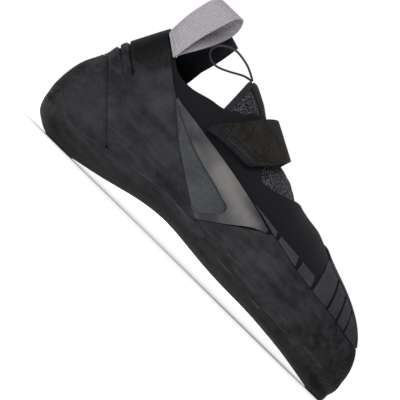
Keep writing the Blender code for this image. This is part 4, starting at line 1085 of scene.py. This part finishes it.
def makeSides():
    rubber = layers["rubber"]
    fabric = onEdge(fabricEdge, rubber)
    wing = onEdge(wingEdge, rubber, heelShape["wingGap"])
    slit = onEdge(slitEdge, rubber, 0.25)
    panelHigh = onEdge(panelTop, rubber)
    panelUnder = onEdge(panelLow, rubber)
    corner = float(last.phiAt(wingEdge[-1][0]))

    def low(phis, side):
        return np.where(phis < corner, wing(phis, side), slit(phis, side))

    planes = rowsBetween(float(last.phiAt(62.5)), float(last.phiAt(157.5)), 1.0, (corner,))
    panelPlanes = rowsBetween(float(last.phiAt(66.0)), float(last.phiAt(131.3)), 0.9, (float(last.phiAt(117.5)),))
    for side, word in ((-1, "outer"), (1, "inner")):
        name = word.capitalize()
        bandPiece(f"smoothSide{name}", planes, low, fabric, 34, rubber, 1.25, finishes["smooth"],
                  (f"side_rand_{word}",), sides=(side,), relief=sideRelief)
        bandPiece(f"crossedPanel{name}", panelPlanes, panelUnder, panelHigh, 26, rubber + sideShape["panelProud"],
                  sideShape["panelWall"], finishes["panel"], (f"side_panel_{word}",), sides=(side,),
                  relief=sideRelief,
                  rounding=0.15)


makeSides()
print("sides made")

# ---- front rubber, toe pads and patch
toeShape = {"seam": 72.0, "patchBack": 172.0, "patchFull": 198.0}
toePads = (
    (142.0, 141.0, 163.4, 162.0, False),
    (165.8, 165.4, 183.6, 181.2, False),
    (186.2, 185.2, 198.8, 196.4, False),
    (201.2, 195.8, 213.6, 207.8, True),
    (215.8, 209.8, 222.6, 217.4, True),
    (224.8, 219.4, 230.8, 226.4, True),
    (232.6, 228.2, 243.6, 239.0, True),
)


def frontRelief(points):
    x, z = points[..., 0], points[..., 2]
    swell = 0.5 * np.exp(-((x - 178) / 26.0) ** 2 - ((z - 30) / 9.0) ** 2)
    dent = 0.35 * nearSegment(points, (150, 33), (210, 24), 4.0)
    # thins towards the patch, so that the toe runs on in one curve
    fullness = 0.9 * np.clip((x - 240) / 12, 0, 1) ** 2 * np.clip((40 - z) / 14, 0, 1)
    edge = edgeLine(patchLow)(x)
    thin = np.clip(1 - (edge - z) / 8.0, 0, 1) ** 2 * np.clip((x - 218) / 18, 0, 1)
    chin = 1.5 * np.clip((x - 246) / 7, 0, 1) * np.clip((17 - z) / 8, 0, 1)
    return swell - dent + fullness + chin - 0.75 * thin


def makeFront():
    rubber = layers["rubber"]
    sole = onEdge(toeSoleEdge, rubber, -heelShape["under"])
    slit = onEdge(slitEdge, rubber, -0.25)
    patch = onEdge(patchLow, rubber, -0.1)
    phiSlit = float(last.phiAt(slitEdge[-1][0]))
    cap = last.crossing(edgeLine(patchLow, -0.25), 90.0, rubber, float(last.phiAt(230.0)),
        float(last.phiAt(250.5)))

    def high(phis, side):
        return np.where(phis < phiSlit, slit(phis, side), patch(phis, side))

    planes = rowsBetween(float(last.phiAt(121.4)), math.pi, 1.3,
        (phiSlit, cap - 0.04, cap - 0.02, cap - 0.01, cap))
    bandPiece("frontRubber", planes, sole, high, 44, rubber, 1.25, finishes["front"], ("front_rand",),
              relief=frontRelief)


def makePads():
    lowEdge = edgeLine(patchLow, 0.25)
    sliverEdge = edgeLine(sliverLow)
    topEdge = edgeLine(sidePadTop)
    for number, (backLow, backTop, frontLow, frontTop, full) in enumerate(toePads, start=1):
        rise = np.linspace(0, 1, 34 if full else 12)[None, :]
        across = np.linspace(0, 1, 15)[:, None]
        back = backLow + (backTop - backLow) * rise ** 1.3
        front = frontLow + (frontTop - frontLow) * rise ** 1.3
        phis = last.phiAt(back + (front - back) * across)
        flat = phis.ravel()
        low = last.angleAt(flat, lowEdge, -1, layers["pad"])
        if number == 1:
            low = last.angleAt(flat, sliverEdge, -1, layers["pad"])
        high = np.full(len(flat), toeShape["seam"]) if full else last.angleAt(flat, topEdge, -1, layers["pad"])
        t = low + (np.maximum(high, low + 0.4) - low) * np.broadcast_to(rise, phis.shape).ravel()
        points = last.skin(flat, t, layers["pad"] + 0.15).reshape(*phis.shape, 3)
        outward = last.normals(flat, last.spots(flat, t)).reshape(*phis.shape, 3)
        sheetPiece(f"toePad{number}", [(points, clothMap(points), outward)], 1.0, finishes["pad"],
                   (f"toe_pad_{number}",), rounding=0.35)


def makePatch():
    offset = layers["pad"] + 0.2
    lowLine = edgeLine(patchLow, 0.02)
    start, full = float(last.phiAt(toeShape["patchBack"])), float(last.phiAt(toeShape["patchFull"]))
    end = last.crossing(lowLine, 90.0, layers["pad"], float(last.phiAt(230.0)), float(last.phiAt(250.5)))
    seam = toeShape["seam"] + 1.2

    def backEdge(phis):
        share = np.clip((phis - start) / (full - start), 0, 1)
        low = last.angleAt(phis, lowLine, 1, layers["pad"])
        return low + (seam - low) * (0.06 + 0.94 * share)

    before, crossing = start, full
    for _ in range(26):
        middle = (before + crossing) / 2
        before, crossing = (middle, crossing) if backEdge(np.array([middle]))[0] > 90 else (before, middle)
    planes = rowsBetween(start, end, 1.2, (crossing, full))
    farLow = last.angleAt(planes, lowLine, 1, layers["pad"])
    first = backEdge(planes)
    first[planes == crossing] = 90.0
    nearLow = last.angleAt(planes, lowLine, -1, layers["pad"])
    first = np.where(planes >= full, np.maximum(first, nearLow), first)
    first[-1] = 90.0
    farLow[-1] = 90.0
    patches = []
    for side in (-1, 1):
        low = np.minimum(first, 90.0) if side < 0 else farLow
        high = np.full(len(planes), 90.0) if side < 0 else np.maximum(first, 90.0)
        patches.append(layerPatch(planes, low, high, 12 if side < 0 else 36, offset))
    sheetPiece("toePatchRubber", patches, 1.05, finishes["patch"], ("toe_patch",))


makeFront()
makePads()
makePatch()
carriers = [bpy.data.objects[name] for name in ("heelBallRubber", "heelCupRubber", "frontRubber")]
solePiece("heelSoleRubber", slingEdge, True, "heel_sole", carriers)
solePiece("toeSoleRubber", toeSoleEdge, False, "outsole", carriers)
print("toe and soles made")

# ---- strap
strapShape = {"thick": 2.2, "along": 110, "across": 34, "crown": 0.5, "cornerFront": 0.14, "cornerBack": 0.06,
              "cornerLength": 0.6}
strapRows = (  # side, back x, back z, front x, front z, lift
    (-1, 88.0, 70.6, 122.4, 71.8, 0.0),
    (-1, 90.0, 76.0, 126.6, 77.0, 0.1),
    (-1, 96.5, 84.0, 132.0, 83.0, 0.5),
    (-1, 104.0, 93.0, 135.5, 86.6, 1.2),
    (0, 112.2, 200.0, 136.2, 200.0, 3.0),
    (1, 110.0, 92.0, 136.0, 84.0, 1.4),
    (1, 106.0, 82.0, 133.0, 76.0, 0.6),
    (1, 103.0, 71.5, 131.0, 67.0, 0.1),
)


def strapReader():
    rows = []
    for side, backX, backZ, frontX, frontZ, lift in strapRows:
        ends = []
        for x, z in ((backX, backZ), (frontX, frontZ)):
            ends.append((float(last.phiAt(x)), 90.0) if side == 0 else last.place(x, z, side,
                layers["seat"] + 2.0))
        rows.append((*ends[0], *ends[1], lift))
    keys = np.arange(len(rows), dtype=float)
    return [smoothLine(keys, [row[i] for row in rows]) for i in range(5)]


strapRead = strapReader()


def strapPoint(key, share, above=0.0):
    key, share = np.broadcast_arrays(np.asarray(key, float), np.asarray(share, float))
    backPhi, backT, frontPhi, frontT, lift = (curve(key) for curve in strapRead)
    phi = backPhi + (frontPhi - backPhi) * share
    t = backT + (frontT - backT) * share
    crown = strapShape["crown"] * np.sin(np.clip(share, 0, 1) * math.pi) ** 0.6
    spots = last.spots(phi, t)
    out = last.normals(phi, spots)
    height = layers["seat"] + 0.15 + np.maximum(lift, 0) * (1 - 0.45 * share) + strapShape["thick"] + crown + above
    return spots + out * height[..., None], out


strapKeys = (np.linspace(0, 1, strapShape["along"]) ** 1.25 * (len(strapRows) - 1))[:, None]
strapCorner = 1 - np.sqrt(1 - np.clip(1 - strapKeys / strapShape["cornerLength"], 0, 1) ** 2)
strapFirst = strapShape["cornerBack"] * strapCorner
strapLast = 1 - strapShape["cornerFront"] * strapCorner
strapPoints, strapOut = strapPoint(
    strapKeys, strapFirst + (strapLast - strapFirst) * np.linspace(0, 1, strapShape["across"])[None, :])
sheetPiece("strapSuede", [(strapPoints, clothMap(strapPoints), strapOut)], strapShape["thick"], finishes["suede"],
           ("strap",), rounding=0.6)
print("strap made")

# ---- pull loops
loopLook = {"webbing": 1.2, "along": 150, "across": 18}
outerLoop = (
    (31.4, -14.5, 105.0, 45.4, -27.0, 98.5, 3.0),
    (32.2, -14.5, 114.0, 47.8, -25.0, 110.0, 1.5),
    (34.4, -12.5, 125.0, 51.8, -20.5, 123.5, 0.6),
    (36.8, -10.5, 130.2, 54.2, -17.0, 130.0, 0.2),
    (40.5, -6.5, 132.8, 57.0, -12.5, 132.9, 0.0),
    (43.0, -2.5, 131.0, 59.2, -8.2, 130.2, 0.0),
    (43.6, -0.5, 125.5, 60.0, -5.6, 124.0, 0.0),
    (41.4, -1.6, 116.0, 57.6, -8.4, 114.8, 0.6),
    (37.6, -9.0, 108.0, 52.0, -19.5, 103.0, 2.0),
)
innerLoop = (
    (44.0, 18.6, 92.0, 60.5, 18.6, 89.0, 0.0),
    (46.0, 13.0, 103.0, 63.5, 12.5, 100.0, 0.0),
    (48.6, 10.0, 114.0, 65.8, 9.0, 110.5, 0.0),
    (50.4, 7.0, 121.4, 66.8, 6.2, 116.8, 0.0),
    (51.0, 4.8, 123.6, 67.0, 4.0, 118.6, 0.0),
    (50.2, 2.6, 121.4, 66.2, 2.2, 116.6, 0.0),
    (48.0, 4.4, 113.0, 64.6, 4.6, 109.0, 0.0),
    (45.4, 8.0, 102.0, 62.2, 8.0, 98.6, 0.0),
    (44.4, 12.6, 92.0, 61.0, 12.6, 89.0, 0.0),
)
rowShares = np.linspace(0, 1, 5)


def sewnRow(rearX, rearZ, frontX, frontZ, side, offset):
    row = []
    for share in rowShares:
        phi, t = last.place(rearX + (frontX - rearX) * share, rearZ + (frontZ - rearZ) * share, side, offset)
        row.append(last.skin(phi, t, offset))
    return row


def freeRow(values):
    rear, front = np.array(values[:3]), np.array(values[3:6])
    outward = np.array([rear[1] - front[1], front[0] - rear[0], 0.0])
    outward /= -np.linalg.norm(outward)
    return [rear + (front - rear) * share + outward * values[6] * 4 * share * (1 - share) for share in rowShares]


def webbingReader(rows):
    rows = np.array(rows)
    keys = np.arange(len(rows), dtype=float)
    columns = [[smoothLine(keys, rows[:, j, axis]) for axis in range(3)] for j in range(len(rowShares))]

    def read(key, shares):
        spots = np.array([[curve(key) for curve in column] for column in columns])
        return np.stack([smoothLine(rowShares, spots[:, axis])(shares) for axis in range(3)], axis=-1)

    return read, len(rows) - 1


def webbingPiece(name, rows, material, node):
    read, final = webbingReader(rows)
    keys = np.linspace(0, final, loopLook["along"])
    points = np.array([read(key, np.linspace(0, 1, loopLook["across"])) for key in keys])
    outward = np.cross(np.gradient(points, axis=0), np.gradient(points, axis=1))
    outward /= np.linalg.norm(outward, axis=2, keepdims=True)
    run = np.concatenate([[0], np.cumsum(np.linalg.norm(np.diff(points[:, len(points[0]) // 2], axis=0), axis=1))])
    flat = clothMap(points)
    flat[..., 0] = run[:, None] * 0.001
    sheetPiece(name, [(points, flat, outward)], loopLook["webbing"], material, (node,), rounding=0.4, offset=0.0)
    return read


near = layers["seat"] + loopLook["webbing"] * 1.5 + 0.8
far = layers["seat"] + loopLook["webbing"] / 2 + 0.15
outerEnds = [sewnRow(*values) for values in (
    (31.0, 96.4, 43.4, 87.4, -1, near), (31.0, 99.0, 44.2, 90.6, -1, near),
    (33.6, 101.4, 46.0, 92.8, -1, far), (31.6, 96.8, 43.8, 88.0, -1, far))]
outerRead = webbingPiece("outerPullLoop", outerEnds[:2] + [freeRow(v) for v in outerLoop] + outerEnds[2:],
                         finishes["greyWeb"], "pull_loop_outer")
inside = -loopLook["webbing"] / 2 - 0.9
deeper = inside - loopLook["webbing"] - 1.2
innerEnds = [sewnRow(*values) for values in (
    (44.0, 78.0, 59.0, 74.5, 1, inside), (44.0, 83.0, 59.6, 79.5, 1, inside),
    (44.0, 83.0, 59.6, 79.5, 1, deeper), (44.0, 78.0, 59.0, 74.5, 1, deeper))]
webbingPiece("innerPullLoop", innerEnds[:2] + [freeRow(v) for v in innerLoop] + innerEnds[2:],
             finishes["blackWeb"], "pull_loop_inner")
print("pull loops made")

# ---- stitching
stitch = {"length": 1.5, "pitch": 2.3, "radius": 0.2}


def stitchPiece(name, routes, material):
    # each route is a list of (point, outward): one small stitch at every pitch along it
    bm = bmesh.new()
    for route in routes:
        points = np.array([p for p, _ in route])
        outs = np.array([n for _, n in route])
        run = np.concatenate([[0], np.cumsum(np.linalg.norm(np.diff(points, axis=0), axis=1))])
        for start in np.arange(0.3, run[-1] - stitch["length"], stitch["pitch"]):
            ends = [np.array([np.interp(at, run, points[:, i]) for i in range(3)])
                    for at in (start, start + stitch["length"])]
            out = Vector([np.interp(start, run, outs[:, i]) for i in range(3)]).normalized()
            middle = Vector(toRow((ends[0] + ends[1]) / 2)) + out * 0.00004
            along = Vector(ends[1] - ends[0]).normalized()
            cross = along.cross(out).normalized()
            turn = Matrix((along, cross, along.cross(cross) * -1)).transposed().to_4x4()
            size = Matrix.Diagonal((stitch["length"] * 0.0005, stitch["radius"] * 0.001, stitch["radius"] * 0.001,
                1))
            bmesh.ops.create_uvsphere(bm, u_segments=6, v_segments=5, radius=1.0,
                                      matrix=Matrix.Translation(middle) @ turn @ size @ Matrix.Rotation(
                                          math.pi / 2, 4, "Y"))
    bmesh.ops.recalc_face_normals(bm, faces=bm.faces[:])
    mesh = bpy.data.meshes.new(name)
    bm.to_mesh(mesh)
    bm.free()
    mesh.shade_smooth()
    piece = bpy.data.objects.new(name, mesh)
    scene.collection.objects.link(piece)
    return finishPiece(piece, material, ())


def strapRoute(key, firstShare, lastShare, above=0.02):
    shares = np.linspace(firstShare, lastShare, 60)
    points, outs = strapPoint(np.full(60, key), shares, above)
    return list(zip(points, outs))


def webbingRoute(read, spots):
    route = []
    for (keyA, shareA), (keyB, shareB) in zip(spots, spots[1:]):
        for step in np.linspace(0, 1, 12, endpoint=False):
            key = keyA + (keyB - keyA) * step
            share = shareA + (shareB - shareA) * step
            point = read(key, np.array([share]))[0]
            along = read(key + 0.02, np.array([share]))[0] - read(key - 0.02, np.array([share]))[0]
            over = read(key, np.array([share + 0.02]))[0] - read(key, np.array([share - 0.02]))[0]
            out = np.cross(over, along)
            out /= np.linalg.norm(out)
            if out[1] > 0:
                out = -out
            route.append((point + out * loopLook["webbing"] / 2, out))
    return route


def tongueRoute(x, above):
    phi = float(last.phiAt(x))
    route = []
    for side, span in ((-1, (40.0, 90.0)), (1, (90.0, 140.0))):
        for t in np.linspace(*span, 40):
            spot = last.spots(phi, t)
            out = last.normals(phi, spot)
            route.append((spot + out * above, out))
    return route


stitchPiece("strapStitches", [strapRoute(0.95, 0.16, 0.94), strapRoute(1.26, 0.16, 0.95)], finishes["thread"])
stitchPiece("loopStitches", [webbingRoute(outerRead,
    ((0.2, 0.1), (0.2, 0.92), (1.15, 0.92), (1.15, 0.1), (0.2, 0.1)))],
            finishes["paleThread"])
stitchPiece("tongueStitches", [tongueRoute(90.2, layers["tongue"] + 0.5)], finishes["thread"])
print("stitching made")

# ---- studio
studio = {"floor": 4.0, "sky": 0.2, "nearGlow": 0.3, "farGlow": 1.0}


def areaLight(name, place, target, size, power, tone=(1.0, 1.0, 1.0)):
    data = bpy.data.lights.new(name, "AREA")
    data.shape = "RECTANGLE"
    data.size, data.size_y = size
    data.energy = power
    data.color = tone
    light = bpy.data.objects.new(name, data)
    scene.collection.objects.link(light)
    light.location = place
    light.rotation_euler = (Vector(target) - Vector(place)).to_track_quat("-Z", "Y").to_euler()


def makeStudio():
    bm = bmesh.new()
    bmesh.ops.create_grid(bm, x_segments=1, y_segments=1, size=studio["floor"] / 2)
    bmesh.ops.translate(bm, verts=bm.verts[:], vec=(0.09, 0.0, -0.0002))
    mesh = bpy.data.meshes.new("studioFloor")
    bm.to_mesh(mesh)
    bm.free()
    floor = bpy.data.objects.new("studioFloor", mesh)
    scene.collection.objects.link(floor)
    # the floor glows: dim near the shoe, so that its shadow shows, and full white further out, where it meets the
    # white backdrop
    board = Board("glowingFloor", Specular_IOR_Level=0.1, Roughness=0.9, Emission_Strength=1.0)
    x, y, _ = board.parts(board.place())
    away = board.add("ShaderNodeMath", {"operation": "SQRT"}, {0: (x - 0.09) * (x - 0.09) + y * y})
    board.feed("Base Color", (0.9, 0.9, 0.9, 1.0))
    board.feed("Emission Color", board.blend(board.between(away, 0.22, 0.85), (studio["nearGlow"],) * 3 + (1.0,),
                                             (studio["farGlow"],) * 3 + (1.0,)))
    mesh.materials.append(board.material)
    world = bpy.data.worlds.new("studioSky")
    scene.world = world
    world.use_nodes = True
    tree = world.node_tree
    for node in list(tree.nodes):
        tree.nodes.remove(node)
    seen = tree.nodes.new("ShaderNodeLightPath")
    lit = tree.nodes.new("ShaderNodeBackground")
    shown = tree.nodes.new("ShaderNodeBackground")
    pick = tree.nodes.new("ShaderNodeMixShader")
    out = tree.nodes.new("ShaderNodeOutputWorld")
    lit.inputs["Color"].default_value = (1.0, 1.0, 1.0, 1.0)
    shown.inputs["Color"].default_value = (1.0, 1.0, 1.0, 1.0)
    lit.inputs["Strength"].default_value = studio["sky"]
    shown.inputs["Strength"].default_value = 1.0
    tree.links.new(seen.outputs["Is Camera Ray"], pick.inputs[0])
    tree.links.new(lit.outputs[0], pick.inputs[1])
    tree.links.new(shown.outputs[0], pick.inputs[2])
    tree.links.new(pick.outputs[0], out.inputs[0])
    areaLight("keySoftbox", (-0.45, -1.2, 1.05), (0.09, 0.0, 0.04), (1.2, 0.8), 16.0)
    areaLight("topSoftbox", (-0.1, -0.1, 1.3), (0.09, 0.0, 0.04), (1.0, 0.8), 3.5)
    areaLight("backSoftbox", (-0.2, 1.2, 0.8), (0.1, 0.0, 0.05), (0.9, 0.7), 5.0)


makeStudio()
scene.view_settings.view_transform = "Standard"
print("studio made")
